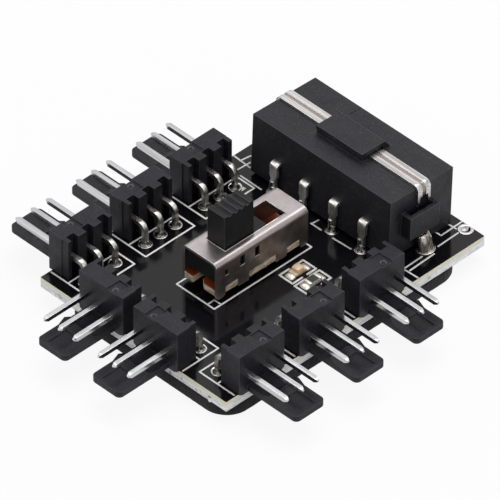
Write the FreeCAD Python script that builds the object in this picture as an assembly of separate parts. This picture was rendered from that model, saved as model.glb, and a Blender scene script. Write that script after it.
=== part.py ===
import FreeCAD, Part
import math
import os
from FreeCAD import Rotation, Vector

# A small hub board that shares one four-pin power socket between eight three-pin fan headers,
# with a slide switch in the middle. Lengths are in millimetres and angles in degrees.
# It is drawn from the board's left front corner: +X runs right, +Y runs back to the power
# socket, and z = 0 is the board's top face. The finished pieces are moved so that the origin
# is under the middle of the board, on the underside of its foam pad.

# Circuit board
board_width = 32.3
board_depth = 43.95
board_thickness = 1.5
board_corner_radius = 0.15
panel_nub_from_left = 29.5
panel_nub_radius = 0.3
panel_nub_reach = 0.2
panel_nub_height = 0.7

# Foam pad under the board
pad_thickness = 2.0
pad_inset_left = 3.8
pad_inset_back = 3.35
pad_corner_radius = 3.6

# Places of the fan headers along the edges, and how far each row stands out over its edge
side_header_count = 3
side_header_start = 5.8
side_header_pitch = 10.16
front_header_count = 2
front_header_start = 11.05
front_header_pitch = 9.4
right_overhang = 0.2
left_overhang = 0.5
front_overhang = 0.35

# Fan header housing
header_width = 7.6
header_depth = 3.3
header_height = 5.9
lip_drop = 0.3
lip_bevel = 0.6
comb_depth = 1.0
comb_notch_width = 1.2
end_step_depth = 1.1
recess_length = 2.2
recess_width = 1.65
recess_depth = 0.25
side_recess_offset = 0.85
first_front_recess_offset = 1.85
second_front_recess_offset = -0.95
gate_from_face = 0.7
gate_radius = 0.35
gate_depth = 0.12
header_edge_bevel = 0.12

# Locking tongue in front of each housing, with a friction bump across it and a shallow channel
tongue_width = 4.95
tongue_reach = 8.4
tongue_thickness = 0.85
tongue_corner_radius = 0.7
bump_start = 2.65
bump_peak = 3.8
bump_end = 4.8
bump_height = 0.6
channel_width = 2.3
channel_depth = 0.2
channel_end_margin = 0.35
channel_end_ramp = 0.5

# Square header pins
pin_count = 3
pin_pitch = 2.54
pin_square = 0.64
pin_height = 2.85
pin_reach = 7.1
pin_foot_from_face = 4.95
pin_bend_radius = 1.2
pin_tip_length = 0.5
pin_tip_bevel = 0.2
pin_hole_diameter = 1.0
pin_solder_radius = 0.9
pin_solder_top_radius = 0.5
pin_solder_height = 0.75

# Power socket housing; its mouth faces +Y and its top leans out over the back edge
socket_left = 3.9
socket_width = 23.85
socket_back = 42.6
socket_depth = 10.7
socket_height = 8.84
socket_lean = 2.34
mouth_depth = 9.0
mouth_side_wall = 1.25
mouth_top_wall = 1.1
mouth_key_bevel = 1.7

# Hook plate over the strap on the socket's top
hook_from_left = 7.85
hook_width = 7.95
hook_front = 34.9
hook_back = 38.9
hook_root_width = 0.6
hook_ramp = 1.0
hook_top = 10.1
hook_thickness = 0.6
hook_lip_overhang = 0.15
hook_lip_clearance = 0.1

# Loop on each end of the socket, where the strap goes down
loop_front = 33.9
loop_back = 38.9
loop_bottom = 2.85
loop_top = 6.2
loop_reach = 1.55
loop_plate = 0.6
loop_slot_front = 34.5
loop_slot_back = 38.45

# Hold-down strap over the socket
strap_centre = 37.3
strap_width = 2.15
strap_thickness = 0.4
strap_groove_width = 0.6
strap_groove_depth = 0.1
strap_bend_radius = 0.8
strap_groove_clearance = 0.15
strap_window_width = 1.35
strap_window_top = 7.5
strap_window_bottom = 4.2
strap_shoulder = 2.3
strap_tail_width = 1.2
strap_tail_shift = 1.0
strap_tail_bend_height = 1.4
strap_tail_end = -1.55
strap_hole_diameter = 1.8
strap_solder_radius = 1.15
strap_solder_top_radius = 0.6
strap_solder_height = 2.4

# Power contacts
contact_count = 4
contact_pitch = 5.08
contact_pin_diameter = 2.1
contact_pin_length = 6.7
contact_pin_height = 4.42
contact_shift = 0.2
contact_tip_length = 0.7
contact_tip_diameter = 1.2
contact_tail_width = 1.25
contact_tail_thickness = 0.45
contact_tail_top = 4.05
contact_tail_line = 31.4
contact_bend_radius = 0.6
contact_neck_width = 0.85
contact_neck_top = 1.7
contact_neck_taper = 0.4
contact_tail_end = -1.9
contact_hole_diameter = 1.3
contact_solder_radius = 0.9
contact_solder_top_radius = 0.5
contact_solder_height = 0.9
contact_solder_clearance = 0.05

# Flats round each drilled hole that solder covers, each cone of solder and each terminal head
drill_flat_count = 8
solder_flat_count = 10
terminal_head_flat_count = 8

# Bare plated hole by the back right corner, half filled with solder
via_from_left = 29.78
via_from_front = 43.2
via_diameter = 1.2
via_fill_shift = 0.4

# Slide switch: folded sheet shell
switch_centre_x = 15.65
switch_centre_y = 19.5
shell_width = 6.0
shell_length = 15.5
shell_top = 6.1
shell_sheet = 0.4
shell_bend_radius = 0.8
shell_wall_bottom = 2.0
shell_window_pitch = 2.5
shell_window_start = 1.45
shell_window_count = 3
shell_window_width = 0.8
shell_window_height = 1.5
first_window_width = 0.5
first_window_height = 0.9
shell_window_bottom = 3.7
crimp_from_centre = 3.2
crimp_width = 1.8
crimp_fold = 0.8
leg_width = 1.45
leg_bottom = 0.55
leg_corner_bevel = 0.35

# Slide switch: base board, terminals, slider and bridging contacts
switch_base_thickness = 0.9
switch_notch_clearance = 0.1
base_end_notch_left = 1.1
base_end_notch_right = 0.75
base_end_notch_depth = 2.2
base_end_notch_bevel = 0.6
terminal_rows = 2
terminal_count = 4
terminal_pitch = 2.5
terminal_wall_clearance = 0.25
terminal_head_diameter = 1.5
terminal_head_height = 0.2
terminal_width = 0.8
terminal_thickness = 0.4
terminal_hole_diameter = 1.1
slider_side_clearance = 0.1
slider_top_clearance = 0.1
slider_end_clearance = 0.25
slider_bottom = 3.0
knob_width = 3.1
knob_length = 4.95
knob_top = 11.1
knob_side_taper = 0.1
knob_side_clearance = 0.15
knob_end_clearance = 0.1
knob_travel = 5.0
knob_rib_count = 5
knob_groove_width = 0.74
knob_groove_depth = 0.28
bridge_length = 4.0
bridge_width = 1.4
bridge_thickness = 0.25
bridge_dome_radius = 0.4
bridge_dome_flat = 0.18
bridge_dome_drop = 0.4

# Chip light and chip resistor by the switch
chip_length = 2.0
chip_width = 1.25
chip_centre_y = 22.97
led_centre_x = 21.17
led_base_height = 0.4
led_lens_height = 0.45
led_lens_length = 1.2
led_lens_taper = 0.1
resistor_centre_x = 23.77
resistor_height = 0.55
resistor_end_length = 0.35
resistor_end_raise = 0.05
chip_solder_length = 0.6
chip_solder_height = 0.35


def block(low, high):
    """Box between two opposite corners, given as (x, y, z)."""
    size = [high[axis] - low[axis] for axis in range(3)]
    return Part.makeBox(size[0], size[1], size[2], Vector(*low))


def polygon_face(corners):
    """Flat face with straight sides through the corners."""
    return Part.Face(Part.makePolygon(corners + corners[:1]))


def prism(points, sweep):
    """Closed polygon through the points, swept along the vector."""
    return polygon_face([Vector(*point) for point in points]).extrude(Vector(*sweep))


def swept_outline(edges, sweep):
    """Closed outline of lines and arcs, swept along the vector."""
    return Part.Face(Part.Wire(edges)).extrude(Vector(*sweep))


def line(start, end):
    """Straight edge between two points."""
    return Part.makeLine(Vector(*start), Vector(*end))


def arc(start, middle, end):
    """Circular edge through three points."""
    return Part.Arc(Vector(*start), Vector(*middle), Vector(*end)).toShape()


def post(radius, low, high, x, y):
    """Upright cylinder between two heights."""
    return Part.makeCylinder(radius, high - low, Vector(x, y, low))


def ring(flats, inner_radius, x, y, z):
    """Corners of a level regular polygon whose flats stand at the inner radius."""
    reach = inner_radius / math.cos(math.pi / flats)
    corners = []
    for index in range(flats):
        angle = 2 * math.pi * (index + 0.5) / flats
        corners.append(Vector(x + reach * math.cos(angle), y + reach * math.sin(angle), z))
    return corners


def flat_sided_post(flats, inner_radius, low, high, x, y):
    """Upright post with a regular number of flats, between two heights."""
    return polygon_face(ring(flats, inner_radius, x, y, low)).extrude(Vector(0, 0, high - low))


def solder_cone(low_radius, high_radius, height, x, y):
    """Flat-sided cone of solder that stands on the board."""
    foot = ring(solder_flat_count, low_radius, x, y, 0)
    crown = ring(solder_flat_count, high_radius, x, y, height)
    faces = [polygon_face(foot), polygon_face(crown)]
    for index in range(solder_flat_count):
        following = (index + 1) % solder_flat_count
        faces.append(polygon_face([foot[index], foot[following], crown[following], crown[index]]))
    return Part.Solid(Part.Shell(faces))


def upright_edges(shape, keep):
    """Edges parallel to Z whose middle passes the keep test."""
    found = []
    for edge in shape.Edges:
        start = edge.Vertexes[0].Point
        end = edge.Vertexes[-1].Point
        is_upright = math.hypot(end.x - start.x, end.y - start.y) < 1e-6
        if is_upright and keep((start + end) * 0.5):
            found.append(edge)
    return found


def elbow(radius):
    """Middle point's distance from the corner of a right-angle bend, along each side."""
    return radius * (1 - math.sqrt(0.5))


def header_places():
    """Name, edge point, turn, overhang and recess offset of every fan header."""
    places = []
    for index in range(side_header_count):
        along = side_header_start + index * side_header_pitch
        right_edge = Vector(board_width, along, 0)
        left_edge = Vector(0, along, 0)
        places.append((f"right_{index + 1}", right_edge, 0, right_overhang, side_recess_offset))
        places.append((f"left_{index + 1}", left_edge, 180, left_overhang, side_recess_offset))
    offsets = [first_front_recess_offset, second_front_recess_offset]
    for index in range(front_header_count):
        across = front_header_start + index * front_header_pitch
        front_edge = Vector(across, 0, 0)
        places.append((f"front_{index + 1}", front_edge, -90, front_overhang, offsets[index]))
    return places


def pin_lines():
    """Distance of each pin from the middle of its header."""
    first = -(pin_count - 1) * pin_pitch / 2
    return [first + index * pin_pitch for index in range(pin_count)]


def on_edge(shape, edge_point, turn, overhang):
    """Move a header piece from its own frame, with its face at x = 0, to its board edge."""
    moved = shape.copy()
    moved.translate(Vector(overhang, 0, 0))
    moved.rotate(Vector(0, 0, 0), Vector(0, 0, 1), turn)
    moved.translate(edge_point)
    return moved


def foot_point(edge_point, turn, overhang, across):
    """Place on the board where one header pin goes down through it."""
    local = Vector(overhang - pin_foot_from_face, across, 0)
    return edge_point + Rotation(Vector(0, 0, 1), turn).multVec(local)


def make_board():
    """Laminate with every plated hole and the stub of its panel joint."""
    board = block((0, 0, -board_thickness), (board_width, board_depth, 0))
    board = board.makeFillet(board_corner_radius, upright_edges(board, lambda point: True))
    nub = post(panel_nub_radius, -board_thickness, panel_nub_height - board_thickness,
               panel_nub_from_left, panel_nub_radius - panel_nub_reach)
    board = board.fuse(nub)
    holes = []
    for _, edge_point, turn, overhang, _ in header_places():
        for across in pin_lines():
            foot = foot_point(edge_point, turn, overhang, across)
            holes.append((foot.x, foot.y, pin_hole_diameter))
    for x in contact_lines():
        holes.append((x, contact_tail_line, contact_hole_diameter))
    for x in strap_tail_lines():
        holes.append((x, strap_centre, strap_hole_diameter))
    for x, y in terminal_places():
        holes.append((x, y, terminal_hole_diameter))
    drills = [post(via_diameter / 2, -board_thickness, 0, via_from_left, via_from_front)]
    for x, y, diameter in holes:
        drills.append(flat_sided_post(drill_flat_count, diameter / 2, -board_thickness, 0, x, y))
    return board.cut(drills).removeSplitter()


def make_pad():
    """Foam pad, set in from the left and back edges of the board."""
    low = (pad_inset_left, 0, -board_thickness - pad_thickness)
    high = (board_width, board_depth - pad_inset_back, -board_thickness)
    pad = block(low, high)
    return pad.makeFillet(pad_corner_radius, upright_edges(pad, lambda point: True))


def make_header_tongue():
    """Locking tongue with its friction bump, rounded outer corners and shallow channel."""
    side = -tongue_width / 2
    top = tongue_thickness
    root = -header_depth / 2
    outline = [(root, side, 0), (tongue_reach, side, 0),
               (tongue_reach, side, top), (bump_end, side, top),
               (bump_peak, side, top + bump_height), (bump_start, side, top), (root, side, top)]
    tongue = prism(outline, (0, tongue_width, 0))
    outer = upright_edges(tongue, lambda point: point.x > bump_end)
    tongue = tongue.makeFillet(tongue_corner_radius, outer)
    channel_end = tongue_reach - channel_end_margin
    channel_side = -channel_width / 2
    floor = top - channel_depth
    channel = prism([(bump_end, channel_side, floor), (channel_end - channel_end_ramp, channel_side, floor),
                     (channel_end, channel_side, top), (bump_end, channel_side, top)],
                    (0, channel_width, 0))
    return tongue.cut(channel)


def make_header_body(overhang):
    """Block of the housing with its lip over the board edge and bevelled top corners."""
    half = header_width / 2
    rim = half - header_edge_bevel
    top_rim = header_height - header_edge_bevel
    outline = [(-header_depth, -half, 0), (-header_depth, -half, top_rim),
               (-header_depth, -rim, header_height), (-header_depth, rim, header_height),
               (-header_depth, half, top_rim), (-header_depth, half, 0)]
    body = prism(outline, (header_depth, 0, 0))
    lip_half = half - lip_bevel
    lip = prism([(-overhang, -half, 0), (-overhang, -lip_half, -lip_drop),
                 (-overhang, lip_half, -lip_drop), (-overhang, half, 0)], (overhang, 0, 0))
    return body.fuse(lip)


def make_header(overhang, recess_offset):
    """Fan header housing: a block with a comb back, a top recess and a locking tongue."""
    half = header_width / 2
    back = -header_depth
    cuts = []
    for across in pin_lines():
        notch = comb_notch_width / 2
        cuts.append(block((back, across - notch, 0), (back + comb_depth, across + notch, header_height)))
        cuts.append(block((back, across - pin_square / 2, pin_height - pin_square / 2),
                          (tongue_reach, across + pin_square / 2, pin_height + pin_square / 2)))
    for side in (-1, 1):
        edges = sorted((side * (half - header_edge_bevel), side * half))
        cuts.append(block((back, edges[0], 0), (back + end_step_depth, edges[1], header_height)))
    floor = header_height - recess_depth
    cuts.append(block((-recess_length, recess_offset - recess_width / 2, floor),
                      (0, recess_offset + recess_width / 2, header_height)))
    cuts.append(post(gate_radius, floor - gate_depth, header_height, -gate_from_face, recess_offset))
    body = make_header_body(overhang).fuse(make_header_tongue())
    return body.cut(cuts).removeSplitter()


def make_pin():
    """Square pin in the header's frame: bevelled tip, long straight and one bend down."""
    half = pin_square / 2
    side = -half
    top = pin_height + half
    under = pin_height - half
    outer = -pin_foot_from_face - half
    inner = -pin_foot_from_face + half
    bend_end = outer + pin_bend_radius
    bend_start = top - pin_bend_radius
    inner_radius = pin_bend_radius - pin_square
    tip_start = pin_reach - pin_tip_length
    outer_mid = (outer + elbow(pin_bend_radius), side, top - elbow(pin_bend_radius))
    inner_mid = (inner + elbow(inner_radius), side, under - elbow(inner_radius))
    edges = [line((tip_start, side, top), (bend_end, side, top)),
             arc((bend_end, side, top), outer_mid, (outer, side, bend_start)),
             line((outer, side, bend_start), (outer, side, -board_thickness)),
             line((outer, side, -board_thickness), (inner, side, -board_thickness)),
             line((inner, side, -board_thickness), (inner, side, bend_start)),
             arc((inner, side, bend_start), inner_mid, (bend_end, side, under)),
             line((bend_end, side, under), (tip_start, side, under)),
             line((tip_start, side, under), (pin_reach, side, under + pin_tip_bevel)),
             line((pin_reach, side, under + pin_tip_bevel), (pin_reach, side, top - pin_tip_bevel)),
             line((pin_reach, side, top - pin_tip_bevel), (tip_start, side, top))]
    bar = swept_outline(edges, (0, pin_square, 0))
    tip = half - pin_tip_bevel
    plan = [(outer, -half, -board_thickness), (tip_start, -half, -board_thickness),
            (pin_reach, -tip, -board_thickness), (pin_reach, tip, -board_thickness),
            (tip_start, half, -board_thickness), (outer, half, -board_thickness)]
    return bar.common(prism(plan, (0, 0, top + board_thickness)))


def make_pin_solder(foot):
    """Cone of solder round one pin foot, with the pin's own square left free."""
    cone = solder_cone(pin_solder_radius, pin_solder_top_radius, pin_solder_height, foot.x, foot.y)
    half = pin_square / 2
    hole = block((foot.x - half, foot.y - half, 0), (foot.x + half, foot.y + half, pin_solder_height))
    return cone.cut(hole)


def contact_lines():
    """Distance of each power contact from the board's left edge."""
    middle = socket_left + socket_width / 2 + contact_shift
    first = middle - (contact_count - 1) * contact_pitch / 2
    return [first + index * contact_pitch for index in range(contact_count)]


def strap_tail_lines():
    """Distance of both strap tails from the board's left edge."""
    run = strap_thickness / 2 + strap_tail_shift
    return [socket_left - run, socket_left + socket_width + run]


def lean(shape):
    """Tip a piece of the power socket outwards about the lower edge of its mouth."""
    moved = shape.copy()
    moved.rotate(Vector(0, socket_back, 0), Vector(1, 0, 0), -socket_lean)
    return moved


def make_mouth():
    """Hollow of the socket, with two bevelled corners that key the plug."""
    left = socket_left + mouth_side_wall
    right = socket_left + socket_width - mouth_side_wall
    low = mouth_top_wall
    high = socket_height - mouth_top_wall
    y = socket_back - mouth_depth
    outline = [(left, y, low), (right, y, low), (right, y, high - mouth_key_bevel),
               (right - mouth_key_bevel, y, high), (left + mouth_key_bevel, y, high),
               (left, y, high - mouth_key_bevel)]
    return prism(outline, (0, mouth_depth, 0))


def make_hook():
    """Hook plate over the strap, from a root behind it to a lip in front of it."""
    x = socket_left + hook_from_left
    under = hook_top - hook_thickness
    root = hook_back - hook_root_width / 2
    lip_front = hook_front + hook_lip_overhang
    lip_back = strap_centre - strap_width / 2 - hook_lip_clearance
    outline = [(x, lip_front, socket_height), (x, lip_front, under), (x, hook_front, under),
               (x, hook_front, hook_top), (x, hook_back, hook_top),
               (x, hook_back + hook_ramp, socket_height), (x, root, socket_height), (x, root, under),
               (x, lip_back, under), (x, lip_back, socket_height)]
    return prism(outline, (hook_width, 0, 0))


def make_loop(end_x, outward):
    """Loop that stands out from one end of the socket, open above and below."""
    outer = end_x + outward * loop_reach
    inner = outer - outward * loop_plate
    frame = block((min(end_x, outer), loop_front, loop_bottom), (max(end_x, outer), loop_back, loop_top))
    slot = block((min(end_x, inner), loop_slot_front, loop_bottom),
                 (max(end_x, inner), loop_slot_back, loop_top))
    return frame.cut(slot)


def make_strap_relief(end_x, outward):
    """Rounding of the socket's top end edge under the strap's bend."""
    radius = strap_bend_radius - strap_thickness
    half = strap_width / 2 + strap_groove_clearance
    inner = end_x - outward * radius
    corner = block((min(end_x, inner), strap_centre - half, socket_height - radius),
                   (max(end_x, inner), strap_centre + half, socket_height))
    axis_point = Vector(inner, strap_centre - half, socket_height - radius)
    return corner.cut(Part.makeCylinder(radius, 2 * half, axis_point, Vector(0, 1, 0)))


def make_socket():
    """Power socket housing with its mouth, tail slots, hook plate and end loops."""
    right = socket_left + socket_width
    front = socket_back - socket_depth
    body = block((socket_left, front, 0), (right, socket_back, socket_height))
    body = body.fuse([make_hook(), make_loop(socket_left, -1), make_loop(right, 1)])
    cuts = [make_mouth(), make_strap_relief(socket_left, -1), make_strap_relief(right, 1)]
    for x in contact_lines():
        half = contact_tail_width / 2
        cuts.append(block((x - half, front, contact_tail_top - contact_tail_thickness),
                          (x + half, socket_back - mouth_depth, contact_tail_top)))
    return body.cut(cuts).removeSplitter()


def strap_band(thickness, low, high):
    """Part of the strap's run over the socket between two lines in Y, with both its bends."""
    left = socket_left
    right = socket_left + socket_width
    outer = strap_bend_radius - strap_thickness + thickness
    inner = strap_bend_radius - strap_thickness
    top = socket_height + thickness
    rise = socket_height - inner
    edges = [line((left - thickness, low, strap_shoulder), (left - thickness, low, rise)),
             arc((left - thickness, low, rise),
                 (left - thickness + elbow(outer), low, top - elbow(outer)), (left + inner, low, top)),
             line((left + inner, low, top), (right - inner, low, top)),
             arc((right - inner, low, top),
                 (right + thickness - elbow(outer), low, top - elbow(outer)),
                 (right + thickness, low, rise)),
             line((right + thickness, low, rise), (right + thickness, low, strap_shoulder)),
             line((right + thickness, low, strap_shoulder), (right, low, strap_shoulder)),
             line((right, low, strap_shoulder), (right, low, rise)),
             arc((right, low, rise), (right - elbow(inner), low, socket_height - elbow(inner)),
                 (right - inner, low, socket_height)),
             line((right - inner, low, socket_height), (left + inner, low, socket_height)),
             arc((left + inner, low, socket_height),
                 (left + elbow(inner), low, socket_height - elbow(inner)), (left, low, rise)),
             line((left, low, rise), (left, low, strap_shoulder)),
             line((left, low, strap_shoulder), (left - thickness, low, strap_shoulder))]
    return swept_outline(edges, (0, high - low, 0))


def make_strap_tail(end_x, outward):
    """Narrow tail that steps outwards below the loop and goes down through the board."""
    low = strap_centre - strap_tail_width / 2
    near = end_x
    far = end_x + outward * strap_thickness
    shift = outward * strap_tail_shift
    outline = [(near, low, strap_shoulder), (far, low, strap_shoulder),
               (far + shift, low, strap_tail_bend_height), (far + shift, low, strap_tail_end),
               (near + shift, low, strap_tail_end), (near + shift, low, strap_tail_bend_height)]
    return prism(outline, (0, strap_tail_width, 0))


def make_strap():
    """Hold-down strap: two ribs with a groove between, a window and a tail at each end."""
    low = strap_centre - strap_width / 2
    high = strap_centre + strap_width / 2
    half_groove = strap_groove_width / 2
    right = socket_left + socket_width
    strap = strap_band(strap_thickness - strap_groove_depth, low, high)
    ribs = [strap_band(strap_thickness, low, strap_centre - half_groove),
            strap_band(strap_thickness, strap_centre + half_groove, high)]
    strap = strap.fuse(ribs + [make_strap_tail(socket_left, -1), make_strap_tail(right, 1)])
    half_window = strap_window_width / 2
    window = block((socket_left - strap_thickness, strap_centre - half_window, strap_window_bottom),
                   (right + strap_thickness, strap_centre + half_window, strap_window_top))
    return strap.cut(window).removeSplitter()


def make_contact_tail(x):
    """Flat tail that leaves the socket's front, bends down and narrows to its neck."""
    half = contact_tail_width / 2
    low = x - half
    top = contact_tail_top
    under = top - contact_tail_thickness
    outer = contact_tail_line - contact_tail_thickness / 2
    inner = contact_tail_line + contact_tail_thickness / 2
    root = socket_back - mouth_depth + contact_pin_diameter / 2
    inner_radius = contact_bend_radius - contact_tail_thickness
    bend_end = outer + contact_bend_radius
    bend_start = top - contact_bend_radius
    outer_mid = (low, outer + elbow(contact_bend_radius), top - elbow(contact_bend_radius))
    inner_mid = (low, inner + elbow(inner_radius), under - elbow(inner_radius))
    edges = [line((low, root, top), (low, bend_end, top)),
             arc((low, bend_end, top), outer_mid, (low, outer, bend_start)),
             line((low, outer, bend_start), (low, outer, contact_tail_end)),
             line((low, outer, contact_tail_end), (low, inner, contact_tail_end)),
             line((low, inner, contact_tail_end), (low, inner, bend_start)),
             arc((low, inner, bend_start), inner_mid, (low, bend_end, under)),
             line((low, bend_end, under), (low, root, under)),
             line((low, root, under), (low, root, top))]
    tail = swept_outline(edges, (contact_tail_width, 0, 0))
    neck = contact_neck_width / 2
    sides = []
    for side in (-1, 1):
        outline = [(x + side * half, outer, contact_tail_end), (x + side * neck, outer, contact_tail_end),
                   (x + side * neck, outer, contact_neck_top),
                   (x + side * half, outer, contact_neck_top + contact_neck_taper)]
        sides.append(prism(outline, (0, contact_tail_thickness, 0)))
    return tail.cut(sides)


def make_contact(x):
    """Power contact: round pin in the mouth and a flat tail down through the board."""
    start = socket_back - mouth_depth
    straight = contact_pin_length - contact_tip_length
    along = Vector(0, 1, 0)
    pin = Part.makeCylinder(contact_pin_diameter / 2, straight, Vector(x, start, contact_pin_height), along)
    tip = Part.makeCone(contact_pin_diameter / 2, contact_tip_diameter / 2, contact_tip_length,
                        Vector(x, start + straight, contact_pin_height), along)
    return pin.fuse([tip, make_contact_tail(x)]).removeSplitter()


def make_contact_solder(x, contact):
    """Cone of solder round the neck of one power contact, flat where it faces the socket."""
    cone = solder_cone(contact_solder_radius, contact_solder_top_radius, contact_solder_height,
                       x, contact_tail_line)
    front = socket_back - socket_depth - contact_solder_clearance
    reach = 2 * contact_solder_radius
    behind = block((x - reach, front, 0), (x + reach, front + reach, contact_solder_height))
    return cone.cut([contact, behind])


def make_strap_solder(x, strap):
    """Tall cone of solder round one strap tail."""
    cone = solder_cone(strap_solder_radius, strap_solder_top_radius, strap_solder_height,
                       x, strap_centre)
    return max(cone.cut(strap).Solids, key=lambda solid: solid.Volume)


def make_via_fill():
    """Solder that fills the bare plated hole but for a crescent."""
    hole = post(via_diameter / 2, -board_thickness, 0, via_from_left, via_from_front)
    shifted = post(via_diameter / 2, -board_thickness, 0, via_from_left - via_fill_shift, via_from_front)
    return hole.common(shifted)


def from_switch(shape):
    """Move a switch piece from the switch's own middle to its place on the board."""
    moved = shape.copy()
    moved.translate(Vector(switch_centre_x, switch_centre_y, 0))
    return moved


def switch_mirrored(shape):
    """The shape with its mirror images across both middle planes of the switch."""
    across = shape.mirror(Vector(0, 0, 0), Vector(1, 0, 0))
    pair = [shape, across]
    return pair + [piece.mirror(Vector(0, 0, 0), Vector(0, 1, 0)) for piece in pair]


def make_shell_channel():
    """Upside-down channel of the shell, with rounded long edges."""
    half = shell_width / 2
    y = -shell_length / 2
    outer = shell_bend_radius
    inner = shell_bend_radius - shell_sheet
    top = shell_top
    under = shell_top - shell_sheet
    wall = half - shell_sheet
    rise = top - outer
    low = shell_wall_bottom
    edges = [line((-half, y, low), (-half, y, rise)),
             arc((-half, y, rise), (-half + elbow(outer), y, top - elbow(outer)), (-half + outer, y, top)),
             line((-half + outer, y, top), (half - outer, y, top)),
             arc((half - outer, y, top), (half - elbow(outer), y, top - elbow(outer)), (half, y, rise)),
             line((half, y, rise), (half, y, low)),
             line((half, y, low), (wall, y, low)),
             line((wall, y, low), (wall, y, rise)),
             arc((wall, y, rise), (wall - elbow(inner), y, under - elbow(inner)), (wall - inner, y, under)),
             line((wall - inner, y, under), (-wall + inner, y, under)),
             arc((-wall + inner, y, under), (-wall + elbow(inner), y, under - elbow(inner)),
                 (-wall, y, rise)),
             line((-wall, y, rise), (-wall, y, low)),
             line((-wall, y, low), (-half, y, low))]
    return swept_outline(edges, (0, shell_length, 0))


def make_shell_leg():
    """Corner leg of the shell that runs straight down and ends above the board."""
    half = shell_width / 2
    wall = half - shell_sheet
    y = shell_length / 2 - leg_width
    leg = block((wall, y, leg_bottom), (half, y + leg_width, shell_wall_bottom))
    ends = [edge for edge in leg.Edges if edge.BoundBox.XLength > 0 and edge.BoundBox.ZMax <= leg_bottom]
    return leg.makeChamfer(leg_corner_bevel, ends)


def make_shell_crimp():
    """Tab that runs down past the base's edge and folds in under it."""
    half = shell_width / 2
    wall = half - shell_sheet
    low = crimp_from_centre - crimp_width / 2
    under = shell_wall_bottom - switch_base_thickness
    outline = [(wall, low, shell_wall_bottom), (half, low, shell_wall_bottom),
               (half, low, under - shell_sheet), (wall - crimp_fold, low, under - shell_sheet),
               (wall - crimp_fold, low, under), (wall, low, under)]
    return prism(outline, (0, crimp_width, 0))


def make_shell():
    """Shell of the switch: channel, slot, side windows, crimped tabs and legs."""
    shell = make_shell_channel()
    shell = shell.fuse(switch_mirrored(make_shell_leg()) + switch_mirrored(make_shell_crimp()))
    slot_x = knob_width / 2 + knob_side_clearance
    slot_y = (knob_length + knob_travel) / 2 + knob_end_clearance
    cuts = [block((-slot_x, -slot_y, shell_top - shell_sheet), (slot_x, slot_y, shell_top))]
    for index in range(shell_window_count):
        low = -shell_length / 2 + shell_window_start + index * shell_window_pitch
        width = first_window_width if index == 0 else shell_window_width
        height = first_window_height if index == 0 else shell_window_height
        cuts.append(block((shell_width / 2 - shell_sheet, low, shell_window_bottom),
                          (shell_width / 2, low + width, shell_window_bottom + height)))
    return from_switch(shell.cut(cuts).removeSplitter())


def base_notches():
    """Spaces in the base's edge for the shell's tabs and legs."""
    wall = shell_width / 2 - shell_sheet
    top = shell_wall_bottom
    low = top - switch_base_thickness
    crimp = crimp_width / 2 + switch_notch_clearance
    end = shell_length / 2
    tab = block((wall, crimp_from_centre - crimp, low),
                (shell_width / 2, crimp_from_centre + crimp, top))
    corner = block((wall, end - leg_width - switch_notch_clearance, low), (shell_width / 2, end, top))
    return switch_mirrored(tab) + switch_mirrored(corner)


def make_switch_base():
    """Flat base of the switch, with notches for the shell and holes for the terminals."""
    half = shell_width / 2
    end = shell_length / 2
    top = shell_wall_bottom
    low = top - switch_base_thickness
    base = block((-half, -end, low), (half, end, top))
    back = -end + base_end_notch_depth
    bevel = -end + base_end_notch_bevel
    end_notch = prism([(-base_end_notch_left, -end, low), (-base_end_notch_left, back, low),
                       (0, back, low), (0, bevel, low), (base_end_notch_right, -end, low)],
                      (0, 0, switch_base_thickness))
    base = from_switch(base.cut(base_notches() + [end_notch]))
    shanks = [make_terminal_shank(x, y) for x, y in terminal_places()]
    return base.cut(shanks)


def terminal_row_offset(row):
    """Distance of one row of terminals from the switch's middle line."""
    reach = shell_width / 2 - shell_sheet - terminal_wall_clearance - terminal_head_diameter / 2
    return reach * (2 * row / (terminal_rows - 1) - 1)


def terminal_places():
    """Places of the switch's terminals on the board, row by row."""
    places = []
    for row in range(terminal_rows):
        x = switch_centre_x + terminal_row_offset(row)
        for index in range(terminal_count):
            along = (index - (terminal_count - 1) / 2) * terminal_pitch
            places.append((x, switch_centre_y + along))
    return places


def make_terminal_shank(x, y):
    """Flat shank of one terminal, from the base's top face to the board's underside."""
    return block((x - terminal_thickness / 2, y - terminal_width / 2, -board_thickness),
                 (x + terminal_thickness / 2, y + terminal_width / 2, shell_wall_bottom))


def make_terminal(x, y):
    """Terminal of the switch: head on the base and a flat shank."""
    head = flat_sided_post(terminal_head_flat_count, terminal_head_diameter / 2, shell_wall_bottom,
                           shell_wall_bottom + terminal_head_height, x, y)
    return head.fuse(make_terminal_shank(x, y)).removeSplitter()


def knob_rest():
    """Middle of the knob along the switch when it stands at the front end of its slot."""
    return -knob_travel / 2


def make_knob():
    """Knob with ribs across its top and sides that lean in, about the switch's own middle."""
    half_width = knob_width / 2
    rim = half_width - knob_side_taper
    low = knob_rest() - knob_length / 2
    front = [(-half_width, low, slider_bottom), (-rim, low, knob_top),
             (rim, low, knob_top), (half_width, low, slider_bottom)]
    knob = prism(front, (0, knob_length, 0))
    pitch = knob_length / knob_rib_count
    radius = (knob_groove_width ** 2 / 4 + knob_groove_depth ** 2) / (2 * knob_groove_depth)
    grooves = []
    for index in range(1, knob_rib_count):
        start = Vector(-half_width, low + index * pitch, knob_top - knob_groove_depth + radius)
        grooves.append(Part.makeCylinder(radius, knob_width, start, Vector(1, 0, 0)))
    return knob.cut(grooves)


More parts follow.
